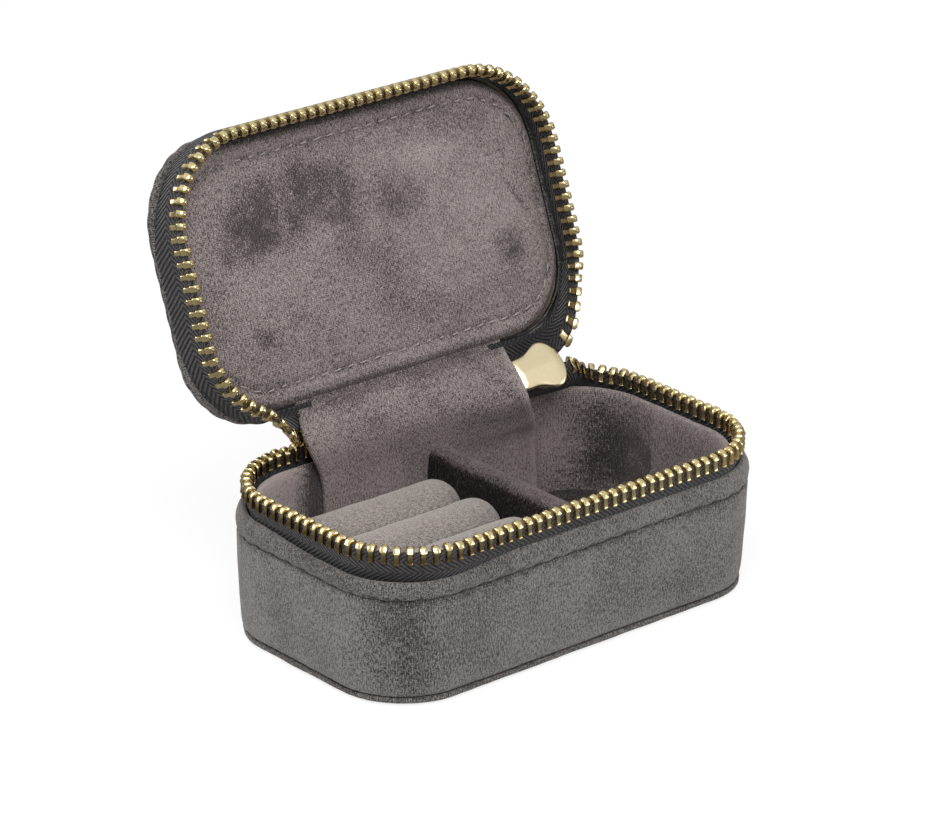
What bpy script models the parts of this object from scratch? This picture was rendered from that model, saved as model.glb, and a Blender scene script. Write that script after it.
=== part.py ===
"""Travel jewelry case: a small zipped box with a hinged lid, ring rolls and one open tray.

Frame: origin at the centre of the base's underside, X along the long side,
the front faces -Y, the fabric hinge is at +Y, +Z up. Metres.
The lid is modelled shut and then swung open about the hinge line, so every
lid size below is a size of the closed case.
"""
import math

import bmesh
import bpy
from mathutils import Vector

MM = 0.001
GAP = 0.3 * MM                      # clearance between pieces that touch

# outline of the base
LENGTH = 100.0 * MM
WIDTH = 57.2 * MM
CORNER = 16.5 * MM
TAPER = 0.6 * MM                    # the foot is this much smaller than the rim
FABRIC = 0.7 * MM

# heights of the base
PANEL_TOP = 2.1 * MM                # underside panel
SEAM_Z = 22.0 * MM                  # seam between the side cover and the rim band
BAND_TOP = 26.7 * MM
BAND_INSET = 0.35 * MM
LINING_TOP = 25.2 * MM
FLOOR_Z = 4.5 * MM

# zipper, closed
ZIP_Z = 32.1 * MM                   # closing plane, where the two rows of heads meet
ZIP_HALF_X = 48.0 * MM
ZIP_HALF_Y = 27.8 * MM
ZIP_CORNER = 16.8 * MM
PITCH = 2.4 * MM                    # number 5 metal chain
TOOTH = 0.8 * MM                    # tooth size along the chain
TOOTH_DEPTH = 2.4 * MM              # tooth size across the tape
TOOTH_LEG = 2.85 * MM               # from the tooth's foot to the closing plane
INTERLOCK = 0.15 * MM               # how far a head passes the closing plane
CORD_LOW = 1.9 * MM                 # beaded cord that carries the teeth
CORD_HIGH = 0.9 * MM
CORD_DEPTH = 1.2 * MM
TAPE = 0.5 * MM
TAPE_TUCK = 0.9 * MM                # the tape stands this much further in inside the band
BASE_CHAIN_LEFT = -25.3 * MM        # where the base half ends on the back wall
LID_CHAIN_LEFT = -31.0 * MM
CHAIN_RIGHT = 40.2 * MM

# lid, closed
LID_LENGTH = 97.6 * MM
LID_WIDTH = 56.6 * MM
LID_CORNER = 16.2 * MM
LID_BAND_Z = 37.55 * MM             # lower edge of the lid's side
LID_SEAM_Z = 40.15 * MM
LID_TOP = 43.05 * MM
PANEL_Z = 38.45 * MM                # visible face of the padded lining panel
PANEL_HALF = (45.4 * MM, 25.4 * MM, 16.0 * MM)
LID_LINING_HALF = (46.35 * MM, 26.35 * MM, 17.0 * MM)
LID_BOARD = 0.6 * MM

# hinge
HINGE_Y = 28.1 * MM
HINGE_Z = 38.3 * MM
LID_OPEN = math.radians(111.3)
SLIDER_SHARE = 0.45                 # the zipper's end follows this share of the lid's turn
STRIP_LEFT = -22.9 * MM
STRIP_RIGHT = 21.0 * MM

# inside of the base
LINING_HALF = (46.3 * MM, 25.7 * MM, 16.8 * MM)
LINING = 1.2 * MM
WALL_BOARD = 1.6 * MM
FLOOR_PAD = 1.3 * MM
DIVIDER_X = 4.8 * MM
DIVIDER_WIDTH = 4.8 * MM
DIVIDER_TOP = 24.7 * MM
DIVIDER_BOARD = 1.2 * MM
ROLL_RADIUS = 5.8 * MM
ROLL_SKIN = 0.8 * MM
ROLL_Z = 14.6 * MM
ROLL_PITCH = 12.0 * MM
ROLL_COUNT = 4
ROLL_SHIFT = -0.2 * MM              # the row of rolls sits this much towards the front
ROLL_RIGHT = 2.0 * MM
OUTER_ROLL_LEFT = -32.8 * MM
INNER_ROLL_LEFT = -43.6 * MM

# inner flap
FLAP = 0.6 * MM
FLAP_Y = LINING_HALF[1] - LINING - GAP - FLAP / 2
FLAP_LEFT = -26.0 * MM
FLAP_RIGHT = 20.8 * MM
FLAP_FOOT = 17.0 * MM
FLAP_BEND = 25.5 * MM
FLAP_KNEE = 33.0 * MM
FLAP_TOP_Y = 26.6 * MM
FLAP_TOP_Z = 39.0 * MM

# slider, in its own frame: X towards its mouth, Y out of the case, Z across the chain
SLIDER_X = 30.0 * MM
SLIDER_Y = 28.2 * MM
SLIDER_YAW = math.radians(12.0)
SLIDER_LENGTH = 12.4 * MM
SLIDER_MOUTH = 10.2 * MM
SLIDER_TAIL = 6.6 * MM
OUTER_PLATE = 7.4 * MM              # narrower, so that it passes over the rim band
PLATE = 1.1 * MM
PLATE_GAP = 2.6 * MM
BAIL_HEIGHT = 4.0 * MM
BAIL_SPAN = 6.0 * MM
BAIL_RADIUS = 0.45 * MM
EYE_INNER = 0.75 * MM
EYE_OUTER = 1.3 * MM
EYE_WIDTH = 3.0 * MM
PULL_LENGTH = 19.0 * MM
PULL_WIDTH = 6.0 * MM
PULL_THICKNESS = 1.0 * MM
PULL_ANGLE = math.radians(5.0)      # above straight out, so that it clears the rim when open

CORNER_STEPS = 6
ROLL_STEPS = 20

MATERIALS = {
    "velvet": ((0.105, 0.094, 0.088), 0.9, 0.0),
    "lining_velvet": ((0.165, 0.142, 0.136), 0.9, 0.0),
    "roll_velvet": ((0.24, 0.215, 0.2), 0.9, 0.0),
    "board": ((0.32, 0.27, 0.2), 0.8, 0.0),
    "foam": ((0.55, 0.53, 0.48), 0.95, 0.0),
    "tape": ((0.028, 0.025, 0.025), 0.85, 0.0),
    "zip_metal": ((0.78, 0.6, 0.26), 0.28, 1.0),
    "slider_metal": ((0.8, 0.7, 0.45), 0.3, 1.0),
}


def clear_scene():
    for item in list(bpy.data.objects):
        bpy.data.objects.remove(item, do_unlink=True)


def material(name):
    found = bpy.data.materials.get(name)
    if found:
        return found
    colour, roughness, metallic = MATERIALS[name]
    made = bpy.data.materials.new(name)
    made.use_nodes = True
    shader = made.node_tree.nodes["Principled BSDF"]
    shader.inputs["Base Color"].default_value = (*colour, 1.0)
    shader.inputs["Roughness"].default_value = roughness
    shader.inputs["Metallic"].default_value = metallic
    return made


def finish(name, bm, finish_name, parent=None, smooth=35.0):
    """Turn a bmesh into a named object with outward faces and its material."""
    bmesh.ops.recalc_face_normals(bm, faces=bm.faces[:])
    mesh = bpy.data.meshes.new(name)
    bm.to_mesh(mesh)
    bm.free()
    mesh.materials.append(material(finish_name))
    mesh.shade_smooth()
    mesh.set_sharp_from_angle(angle=math.radians(smooth))
    made = bpy.data.objects.new(name, mesh)
    bpy.context.scene.collection.objects.link(made)
    made.parent = parent
    return made


def empty(name, location, parent=None):
    made = bpy.data.objects.new(name, None)
    bpy.context.scene.collection.objects.link(made)
    made.location = location
    made.parent = parent
    return made


# ---------------------------------------------------------------- outlines

def rounded_loop(half_x, half_y, radius, z):
    """Points round a rounded rectangle, anticlockwise seen from above."""
    points = []
    centres = ((1, 1, 0), (-1, 1, 90), (-1, -1, 180), (1, -1, 270))
    for sign_x, sign_y, start in centres:
        for step in range(CORNER_STEPS + 1):
            angle = math.radians(start + 90.0 * step / CORNER_STEPS)
            x = sign_x * (half_x - radius) + radius * math.cos(angle)
            y = sign_y * (half_y - radius) + radius * math.sin(angle)
            points.append(Vector((x, y, z)))
    return points


def base_loop(inset, z):
    return rounded_loop(LENGTH / 2 - inset, WIDTH / 2 - inset, CORNER - inset, z)


def lid_loop(inset, z):
    return rounded_loop(LID_LENGTH / 2 - inset, LID_WIDTH / 2 - inset, LID_CORNER - inset, z)


def sized_loop(size, inset, z):
    return rounded_loop(size[0] - inset, size[1] - inset, size[2] - inset, z)


def cut_loop(points, low_x, high_x):
    """The part of a closed convex loop between two values of X."""
    kept = []
    for index, here in enumerate(points):
        after = points[(index + 1) % len(points)]
        if low_x <= here.x <= high_x:
            kept.append(here.copy())
        for limit in (low_x, high_x):
            if (here.x - limit) * (after.x - limit) < 0:
                share = (limit - here.x) / (after.x - here.x)
                kept.append(here.lerp(after, share))
    return kept


# ---------------------------------------------------------------- solids

def add_loops(bm, loops):
    return [[bm.verts.new(point) for point in loop] for loop in loops]


def skin(bm, first, second):
    """Quads between two closed rows of vertices."""
    count = len(first)
    for index in range(count):
        after = (index + 1) % count
        bm.faces.new((first[index], first[after], second[after], second[index]))


def add_stack(bm, loops):
    """Faces through a stack of equal loops, closed at both ends."""
    rows = add_loops(bm, loops)
    for low, high in zip(rows, rows[1:]):
        skin(bm, low, high)
    bm.faces.new(rows[0])
    bm.faces.new(rows[-1])


def stack(name, loops, finish_name, parent=None):
    """A solid lofted through equal loops, closed at both ends."""
    bm = bmesh.new()
    add_stack(bm, loops)
    return finish(name, bm, finish_name, parent)


def ring(name, loops, finish_name, parent=None):
    """A tube-like solid: the loops go once round its cross-section."""
    bm = bmesh.new()
    rows = add_loops(bm, loops)
    for index, row in enumerate(rows):
        skin(bm, row, rows[(index + 1) % len(rows)])
    return finish(name, bm, finish_name, parent)


def box(bm, low, high):
    made = bmesh.ops.create_cube(bm, size=1.0)["verts"]
    size = Vector(high) - Vector(low)
    bmesh.ops.scale(bm, vec=size, verts=made)
    bmesh.ops.translate(bm, vec=(Vector(low) + Vector(high)) / 2, verts=made)
    return made


def add_bevel(item, width, segments):
    bevel = item.modifiers.new("edge", "BEVEL")
    bevel.width = width
    bevel.segments = segments
    bevel.limit_method = "ANGLE"
    bevel.angle_limit = math.radians(50.0)
    return bevel


# ---------------------------------------------------------------- zipper path

def zip_pieces():
    """The zipper's line from the back left, round the front, to the back right."""
    straight_x = ZIP_HALF_X - ZIP_CORNER
    straight_y = ZIP_HALF_Y - ZIP_CORNER
    quarter = math.pi / 2 * ZIP_CORNER
    return (
        ("line", straight_x, (0.0, ZIP_HALF_Y), (-1.0, 0.0)),
        ("arc", quarter, (-straight_x, straight_y), 90.0),
        ("line", 2 * straight_y, (-ZIP_HALF_X, straight_y), (0.0, -1.0)),
        ("arc", quarter, (-straight_x, -straight_y), 180.0),
        ("line", 2 * straight_x, (-straight_x, -ZIP_HALF_Y), (1.0, 0.0)),
        ("arc", quarter, (straight_x, -straight_y), 270.0),
        ("line", 2 * straight_y, (ZIP_HALF_X, -straight_y), (0.0, 1.0)),
        ("arc", quarter, (straight_x, straight_y), 0.0),
    )


def zip_point(distance):
    """Point and outward direction at a distance from the middle of the back wall."""
    for kind, length, anchor, heading in zip_pieces():
        if distance <= length:
            break
        distance -= length
    start = Vector((anchor[0], anchor[1], 0.0))
    if kind == "line":
        outward = Vector((heading[1], -heading[0], 0.0))
        return start + Vector((heading[0], heading[1], 0.0)) * distance, outward
    angle = math.radians(heading) + distance / ZIP_CORNER
    outward = Vector((math.cos(angle), math.sin(angle), 0.0))
    return start + outward * ZIP_CORNER, outward


def zip_length_at(x, left):
    """Distance along the path where it crosses X on the back left or back right."""
    total = sum(piece[1] for piece in zip_pieces())
    straight_x = ZIP_HALF_X - ZIP_CORNER
    beyond = abs(x) - straight_x
    if beyond <= 0:
        return abs(x)
    if left:
        return straight_x + ZIP_CORNER * math.asin(beyond / ZIP_CORNER)
    return total - ZIP_CORNER * math.asin(beyond / ZIP_CORNER)


def path_stations(start, end):
    """Distances of the corner steps between two ends, with both ends."""
    shortest = 0.5 * MM
    stops = [start]
    distance = 0.0
    for kind, length, _, _ in zip_pieces():
        steps = CORNER_STEPS if kind == "arc" else 1
        for step in range(1, steps + 1):
            stop = distance + length * step / steps
            if start + shortest < stop < end - shortest:
                stops.append(stop)
        distance += length
    stops.append(end)
    return stops


def path_section(distance, corners):
    """Section corners given as (outward, z), set on the zipper's path."""
    point, outward = zip_point(distance)
    return [point + outward * across + Vector((0.0, 0.0, z)) for across, z in corners]


# ---------------------------------------------------------------- base

def build_base_case():
    """Covers, boards and lining of the base, from the underside up."""
    panel = [
        base_loop(TAPER + 1.2 * MM, 0.0),
        base_loop(TAPER + 0.4 * MM, 0.5 * MM),
        base_loop(TAPER + 0.3 * MM, PANEL_TOP),
    ]
    stack("base_bottom_cover", panel, "velvet")

    low = PANEL_TOP + GAP
    board_outer = FABRIC + GAP
    board_inner = board_outer + WALL_BOARD
    board_top = SEAM_Z + 0.2 * MM
    cover = [
        base_loop(TAPER, low),
        base_loop(0.0, SEAM_Z),
        base_loop(FABRIC, SEAM_Z),
        base_loop(TAPER + FABRIC, low),
    ]
    ring("base_side_cover", cover, "velvet")

    walls = [
        base_loop(board_outer + TAPER, low),
        base_loop(board_outer, board_top),
        base_loop(board_inner, board_top),
        base_loop(board_inner, low),
    ]
    ring("base_wall_board", walls, "board")

    floor_inset = board_inner + GAP
    floor_top = FLOOR_Z - GAP
    stack("base_bottom_board", [base_loop(floor_inset, low), base_loop(floor_inset, floor_top)], "board")

    band_low = SEAM_Z + GAP
    shoulder = BAND_TOP - 0.8 * MM
    band = [
        base_loop(0.0, band_low),
        base_loop(0.0, shoulder),
        base_loop(BAND_INSET, BAND_TOP),
        base_loop(BAND_INSET + 0.45 * MM, BAND_TOP),
        base_loop(FABRIC, shoulder),
        base_loop(FABRIC, band_low),
    ]
    ring("base_rim_band", band, "velvet")

    lining = [
        sized_loop(LINING_HALF, 0.0, FLOOR_Z),
        sized_loop(LINING_HALF, 0.0, LINING_TOP),
        sized_loop(LINING_HALF, LINING, LINING_TOP),
        sized_loop(LINING_HALF, LINING, FLOOR_Z),
    ]
    ring("base_lining", lining, "lining_velvet")


def tray_block(name, low_x, high_x, top, finish_name):
    """A block that fills the lined tray between two values of X."""
    floor = cut_loop(sized_loop(LINING_HALF, LINING + GAP, FLOOR_Z), low_x, high_x)
    ceiling = cut_loop(sized_loop(LINING_HALF, LINING + GAP, top), low_x, high_x)
    stack(name, [floor, ceiling], finish_name)


def build_base_inside():
    half = DIVIDER_WIDTH / 2
    left_edge = DIVIDER_X - half - GAP
    right_edge = DIVIDER_X + half + GAP
    tray_half = LINING_HALF[0]
    tray_block("ring_bed", -tray_half, left_edge, ROLL_Z - ROLL_RADIUS - GAP, "foam")
    tray_block("tray_floor_pad", right_edge, tray_half, FLOOR_Z + FLOOR_PAD, "lining_velvet")
    build_divider(half)
    build_rolls()


def build_divider(half):
    """A card in a folded velvet cover with a rounded top edge."""
    front = GAP + LINING - LINING_HALF[1]
    back = FLAP_Y - FLAP / 2 - GAP
    shell = half - DIVIDER_BOARD / 2 - GAP
    crown = 5
    profile = [(-half, FLOOR_Z), (shell - half, FLOOR_Z)]
    slot_top = DIVIDER_TOP - 1.5 * MM
    profile += [(shell - half, slot_top), (half - shell, slot_top)]
    profile += [(half - shell, FLOOR_Z), (half, FLOOR_Z)]
    for step in range(crown + 1):
        angle = math.pi * step / crown
        profile.append((half * math.cos(angle), DIVIDER_TOP - half + half * math.sin(angle)))
    sections = [[Vector((DIVIDER_X + x, y, z)) for x, z in profile] for y in (front, back)]
    stack("divider_cover", sections, "lining_velvet")

    bm = bmesh.new()
    low = (DIVIDER_X - DIVIDER_BOARD / 2, front + GAP, FLOOR_Z)
    high = (DIVIDER_X + DIVIDER_BOARD / 2, back - GAP, slot_top - GAP)
    box(bm, low, high)
    finish("divider_board", bm, "board")


def build_rolls():
    """Padded rolls side by side: a velvet sleeve round a foam core each."""
    skin_inner = ROLL_RADIUS - ROLL_SKIN
    core = skin_inner - GAP
    for index in range(ROLL_COUNT):
        y = ROLL_PITCH * ((ROLL_COUNT - 1) / 2 - index) + ROLL_SHIFT
        outer = index in (0, ROLL_COUNT - 1)
        left = OUTER_ROLL_LEFT if outer else INNER_ROLL_LEFT
        number = index + 1
        sleeve = [roll_loop(y, left, ROLL_RADIUS), roll_loop(y, ROLL_RIGHT, ROLL_RADIUS)]
        sleeve += [roll_loop(y, ROLL_RIGHT, skin_inner), roll_loop(y, left, skin_inner)]
        ring("ring_roll_cover_%d" % number, sleeve, "roll_velvet")
        ends = [roll_loop(y, left + GAP, core), roll_loop(y, ROLL_RIGHT - GAP, core)]
        stack("ring_roll_foam_%d" % number, ends, "foam")


def roll_loop(y, x, radius):
    points = []
    for step in range(ROLL_STEPS):
        angle = 2 * math.pi * step / ROLL_STEPS
        points.append(Vector((x, y + radius * math.cos(angle), ROLL_Z + radius * math.sin(angle))))
    return points


# ---------------------------------------------------------------- zipper

def build_tape(name, start, end, edge_z, tuck_z, side, parent=None):
    """One tape: it stands tucked in beside its band and leans out to the teeth."""
    half = TAPE / 2
    foot = ZIP_Z - side * (TOOTH_LEG + GAP)
    inner = -TAPE_TUCK - half
    outer = -TAPE_TUCK + half
    corners = [
        (inner, tuck_z), (outer, tuck_z),
        (outer, edge_z), (half, foot),
        (-half, foot), (inner, edge_z),
    ]
    sections = [path_section(stop, corners) for stop in path_stations(start, end)]
    return stack(name, sections, "tape", parent)


def build_chain(name, start, end, side, offset, parent=None):
    """Metal teeth in a row, carried by the beaded cord at the tape's edge."""
    bm = bmesh.new()
    foot = ZIP_Z - side * TOOTH_LEG
    head = ZIP_Z + side * INTERLOCK
    cord_low = ZIP_Z - side * CORD_LOW
    cord_high = ZIP_Z - side * CORD_HIGH
    depth = TOOTH_DEPTH / 2
    cord = CORD_DEPTH / 2
    block = [(-depth, foot), (depth, foot), (depth, head), (-depth, head)]
    core = [(-cord, cord_low), (cord, cord_low), (cord, cord_high), (-cord, cord_high)]
    count = int((end - start - offset - TOOTH) / PITCH) + 1
    last_core = None
    for index in range(count):
        begin = start + offset + index * PITCH
        finish_at = begin + TOOTH
        steps = ((begin, core), (begin, block), (finish_at, block), (finish_at, core))
        rows = add_loops(bm, [path_section(distance, corners) for distance, corners in steps])
        for low, high in zip(rows, rows[1:]):
            skin(bm, low, high)
        if last_core:
            skin(bm, last_core, rows[0])
        else:
            bm.faces.new(rows[0])
        last_core = rows[-1]
    bm.faces.new(last_core)
    return finish(name, bm, "zip_metal", parent, smooth=20.0)


def build_stop(name, x, side, parent=None):
    """A small metal clip past the last tooth of one chain."""
    foot = ZIP_Z - side * TOOTH_LEG
    head = ZIP_Z - side * 0.3 * MM
    bm = bmesh.new()
    low_z, high_z = sorted((foot, head))
    box(bm, (x, ZIP_HALF_Y - 1.1 * MM, low_z), (x + 1.6 * MM, ZIP_HALF_Y + 1.1 * MM, high_z))
    made = finish(name, bm, "zip_metal", parent)
    add_bevel(made, 0.3 * MM, 1)
    return made


# ---------------------------------------------------------------- lid

def build_lid(parent):
    """The lid's side, domed top and boards, in closed-case coordinates."""
    outer = lid_loop(0.0, 0.0)
    inner = lid_loop(FABRIC, 0.0)
    sections = open_ring_sections(outer, inner, LID_BAND_Z, LID_SEAM_Z)
    stack("lid_side_cover", sections, "velvet", parent)

    crown = LID_TOP - 0.2 * MM
    cap_low = LID_SEAM_Z + GAP
    cap_wall = 0.8 * MM
    ceiling = LID_TOP - cap_wall
    cap = [
        lid_loop(cap_wall, ceiling),
        lid_loop(cap_wall, cap_low),
        lid_loop(0.0, cap_low),
        lid_loop(0.0, LID_TOP - 1.6 * MM),
        lid_loop(0.5 * MM, LID_TOP - 0.6 * MM),
        lid_loop(1.8 * MM, crown),
        lid_loop(6.0 * MM, LID_TOP),
    ]
    stack("lid_top_cover", cap, "velvet", parent)

    board_top = ceiling - GAP
    board_low = board_top - LID_BOARD
    board_inset = cap_wall + GAP
    top_board = [lid_loop(board_inset, board_low), lid_loop(board_inset, board_top)]
    stack("lid_top_board", top_board, "board", parent)

    wall_low = LID_SEAM_Z - 0.6 * MM
    wall_top = board_low - GAP
    wall_inset = board_inset + LID_BOARD
    walls = [
        lid_loop(board_inset, wall_low),
        lid_loop(board_inset, wall_top),
        lid_loop(wall_inset, wall_top),
        lid_loop(wall_inset, wall_low),
    ]
    ring("lid_wall_board", walls, "board", parent)
    build_lid_panel(parent, board_low - GAP)


def open_ring_sections(outer, inner, low, high):
    """Sections of a side band that stops either side of the hinge strip."""
    left_end = STRIP_LEFT - GAP
    right_end = STRIP_RIGHT + GAP
    back_outer = max(point.y for point in outer)
    back_inner = max(point.y for point in inner)
    count = CORNER_STEPS + 1
    order = list(range(count, 4 * count)) + list(range(0, count))
    pairs = [((left_end, back_outer), (left_end, back_inner))]
    for index in order:
        pairs.append(((outer[index].x, outer[index].y), (inner[index].x, inner[index].y)))
    pairs.append(((right_end, back_outer), (right_end, back_inner)))
    sections = []
    for far, near in pairs:
        corners = ((far, low), (far, high), (near, high), (near, low))
        sections.append([Vector((point[0], point[1], z)) for point, z in corners])
    return sections


def build_lid_panel(parent, top):
    """The padded lining panel: a velvet tray round foam and a card."""
    skin_thickness = 0.7 * MM
    foam_low = PANEL_Z + skin_thickness + GAP
    foam_high = foam_low + 0.8 * MM
    card_low = foam_high + GAP
    tray = [
        sized_loop(PANEL_HALF, 2.0 * MM, PANEL_Z),
        sized_loop(PANEL_HALF, 0.4 * MM, PANEL_Z + 0.3 * MM),
        sized_loop(PANEL_HALF, 0.0, PANEL_Z + 1.0 * MM),
        sized_loop(PANEL_HALF, 0.0, top),
        sized_loop(PANEL_HALF, skin_thickness, top),
        sized_loop(PANEL_HALF, skin_thickness, PANEL_Z + skin_thickness),
    ]
    stack("lid_lining_panel", tray, "lining_velvet", parent)
    inset = skin_thickness + GAP
    foam = [sized_loop(PANEL_HALF, inset, foam_low), sized_loop(PANEL_HALF, inset, foam_high)]
    stack("lid_padding", foam, "foam", parent)
    card = [sized_loop(PANEL_HALF, inset, card_low), sized_loop(PANEL_HALF, inset, top)]
    stack("lid_panel_card", card, "board", parent)

    low = LID_BAND_Z + GAP
    lining_inset = 0.6 * MM
    lining = [
        sized_loop(LID_LINING_HALF, 0.0, low),
        sized_loop(LID_LINING_HALF, 0.0, top),
        sized_loop(LID_LINING_HALF, lining_inset, top),
        sized_loop(LID_LINING_HALF, lining_inset, low),
    ]
    ring("lid_side_lining", lining, "lining_velvet", parent)


# ---------------------------------------------------------------- hinge fabric

def build_hinge_strip():
    """Outer fabric that stands behind the gap between the two zipper ends."""
    bm = bmesh.new()
    back = WIDTH / 2 - BAND_INSET
    low = (STRIP_LEFT, back - 0.9 * MM, BAND_TOP + GAP)
    high = (STRIP_RIGHT, back - 0.1 * MM, HINGE_Z - GAP)
    box(bm, low, high)
    finish("hinge_strip", bm, "velvet")


def build_hinge_flap():
    """Inner velvet flap from the back wall's lining up to the open lid's panel."""
    half = FLAP / 2
    top = Vector((0.0, FLAP_TOP_Y, FLAP_TOP_Z))
    middle = Vector((0.0, FLAP_Y, FLAP_KNEE))
    centre = [Vector((0.0, FLAP_Y, FLAP_FOOT)), Vector((0.0, FLAP_Y, FLAP_BEND))]
    steps = 5
    for step in range(1, steps + 1):
        share = step / steps
        start = centre[1]
        point = start * (1 - share) ** 2 + middle * 2 * share * (1 - share) + top * share ** 2
        centre.append(point)
    front, rear = [], []
    for index, point in enumerate(centre):
        before = centre[max(index - 1, 0)]
        after = centre[min(index + 1, len(centre) - 1)]
        along = (after - before).normalized()
        across = Vector((0.0, along.z, -along.y))
        rear.append(point + across * half)
        front.append(point - across * half)
    outline = front + rear[::-1]
    sections = [[Vector((x, p.y, p.z)) for p in outline] for x in (FLAP_LEFT, FLAP_RIGHT)]
    stack("hinge_flap", sections, "lining_velvet")


# ---------------------------------------------------------------- slider

def slider_outline(mouth, tail):
    """Half-widths along the slider: narrow tail, waist, flared and rounded mouth."""
    half = SLIDER_LENGTH / 2
    flare = mouth / 2
    neck = tail / 2
    return (
        (-1.0 * half, 0.86 * neck),
        (-0.94 * half, neck),
        (-0.35 * half, 1.04 * neck),
        (0.0, 0.5 * (neck + flare)),
        (0.3 * half, 0.94 * flare),
        (0.62 * half, flare),
        (0.86 * half, 0.8 * flare),
        (half, 0.4 * flare),
    )


def slider_plate(bm, mouth, tail, low_y, high_y):
    edge = slider_outline(mouth, tail)
    outline = [(x, -width) for x, width in edge] + [(x, width) for x, width in reversed(edge)]
    add_stack(bm, [[Vector((x, y, z)) for x, z in outline] for y in (low_y, high_y)])


def build_slider(parent):
    """Two plates held apart by the neck, joined by a Boolean union."""
    inner = bmesh.new()
    half = PLATE_GAP / 2
    slider_plate(inner, SLIDER_MOUTH, SLIDER_TAIL, -half - PLATE, -half)
    body = finish("slider_body", inner, "slider_metal", parent)

    outer = bmesh.new()
    slider_plate(outer, OUTER_PLATE, OUTER_PLATE * 0.8, half, half + PLATE)
    outer_plate = guide("outer_plate", outer, parent)

    neck = bmesh.new()
    neck_low = (1.6 * MM, -half - PLATE / 2, -1.1 * MM)
    neck_high = (5.0 * MM, half + PLATE / 2, 1.1 * MM)
    box(neck, neck_low, neck_high)
    neck_block = guide("neck", neck, parent)
    join(body, outer_plate)
    join(body, neck_block)
    build_bail(parent)


def guide(name, bm, parent):
    """A hidden solid that a Boolean modifier joins to its piece."""
    made = finish(name, bm, "slider_metal", parent)
    made.hide_render = True
    made.display_type = "WIRE"
    return made


def join(item, tool):
    union = item.modifiers.new("join", "BOOLEAN")
    union.operation = "UNION"
    union.solver = "EXACT"
    union.object = tool


def build_bail(parent):
    """An arch along the slider: two legs and the bar that carries the pull."""
    foot = PLATE_GAP / 2 + PLATE + GAP
    half = BAIL_SPAN / 2
    rise = BAIL_HEIGHT - foot
    corner = rise * 0.6
    route = [Vector((-half, foot, 0.0))]
    for centre, start in ((-half + corner, 180.0), (half - corner, 90.0)):
        for step in range(4):
            angle = math.radians(start - 90.0 * step / 3)
            x = centre + corner * math.cos(angle)
            route.append(Vector((x, BAIL_HEIGHT - corner + corner * math.sin(angle), 0.0)))
    route.append(Vector((half, foot, 0.0)))
    sides = 8
    sections = []
    for index, point in enumerate(route):
        before = route[max(index - 1, 0)]
        after = route[min(index + 1, len(route) - 1)]
        along = (after - before).normalized()
        side = Vector((-along.y, along.x, 0.0))
        circle = []
        for step in range(sides):
            angle = 2 * math.pi * step / sides
            offset = side * math.cos(angle) + Vector((0.0, 0.0, math.sin(angle)))
            circle.append(point + offset * BAIL_RADIUS)
        sections.append(circle)
    stack("slider_bail", sections, "slider_metal", parent)


def build_pull(parent):
    """A flat pull tab with a rolled eye round the bail's bar, drawn along its own +Y."""
    sides = 16
    side = EYE_WIDTH / 2
    loops = []
    for x, radius in ((-side, EYE_OUTER), (side, EYE_OUTER), (side, EYE_INNER), (-side, EYE_INNER)):
        angles = [2 * math.pi * step / sides for step in range(sides)]
        loops.append([Vector((x, radius * math.cos(a), radius * math.sin(a))) for a in angles])
    tab = ring("pull_tab", loops, "slider_metal", parent)

    root = EYE_INNER + 0.25 * MM
    shoulder = 4.0 * MM
    width = PULL_WIDTH / 2
    tip = PULL_LENGTH - width
    tip_steps = 8
    outline = [(-side, root), (-width, shoulder)]
    for step in range(tip_steps + 1):
        angle = math.pi * (1 - step / tip_steps)
        outline.append((width * math.cos(angle), tip + width * math.sin(angle)))
    outline += [(width, shoulder), (side, root)]
    half = PULL_THICKNESS / 2
    blade = bmesh.new()
    add_stack(blade, [[Vector((x, y, z)) for x, y in outline] for z in (-half, half)])
    blade_guide = guide("blade", blade, parent)
    join(tab, blade_guide)


def build_zip_end(parent):
    """Joined tape ends and the bottom stop behind the slider's tail."""
    half = TAPE / 2
    bm = bmesh.new()
    left = STRIP_RIGHT + GAP
    centre_y = SLIDER_Y
    right = SLIDER_X - SLIDER_LENGTH / 2 - GAP
    box(bm, (left, centre_y - half, ZIP_Z - 2.6 * MM), (right, centre_y + half, ZIP_Z + 2.6 * MM))
    finish("zip_end_tape", bm, "tape", parent)

    stop_left = left + 0.4 * MM
    stop_right = stop_left + 1.5 * MM
    inner = half + GAP
    outer = inner + 0.6 * MM
    top = ZIP_Z + 2.6 * MM + GAP + 0.6 * MM
    slot = top - 0.6 * MM
    low = ZIP_Z - 2.4 * MM
    profile = [
        (-outer, low), (-outer, top), (outer, top), (outer, low),
        (inner, low), (inner, slot), (-inner, slot), (-inner, low),
    ]
    sections = [[Vector((x, centre_y + y, z)) for y, z in profile] for x in (stop_left, stop_right)]
    stack("zip_bottom_stop", sections, "zip_metal", parent)


# ---------------------------------------------------------------- assembly

def hinge_frame(name, turn):
    """An empty on the hinge line, turned open, whose children are given in case coordinates."""
    pivot = empty(name, (0.0, HINGE_Y, HINGE_Z))
    pivot.rotation_euler.x = -turn
    shift = empty(name + "_shift", (0.0, -HINGE_Y, -HINGE_Z), pivot)
    return shift


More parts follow.
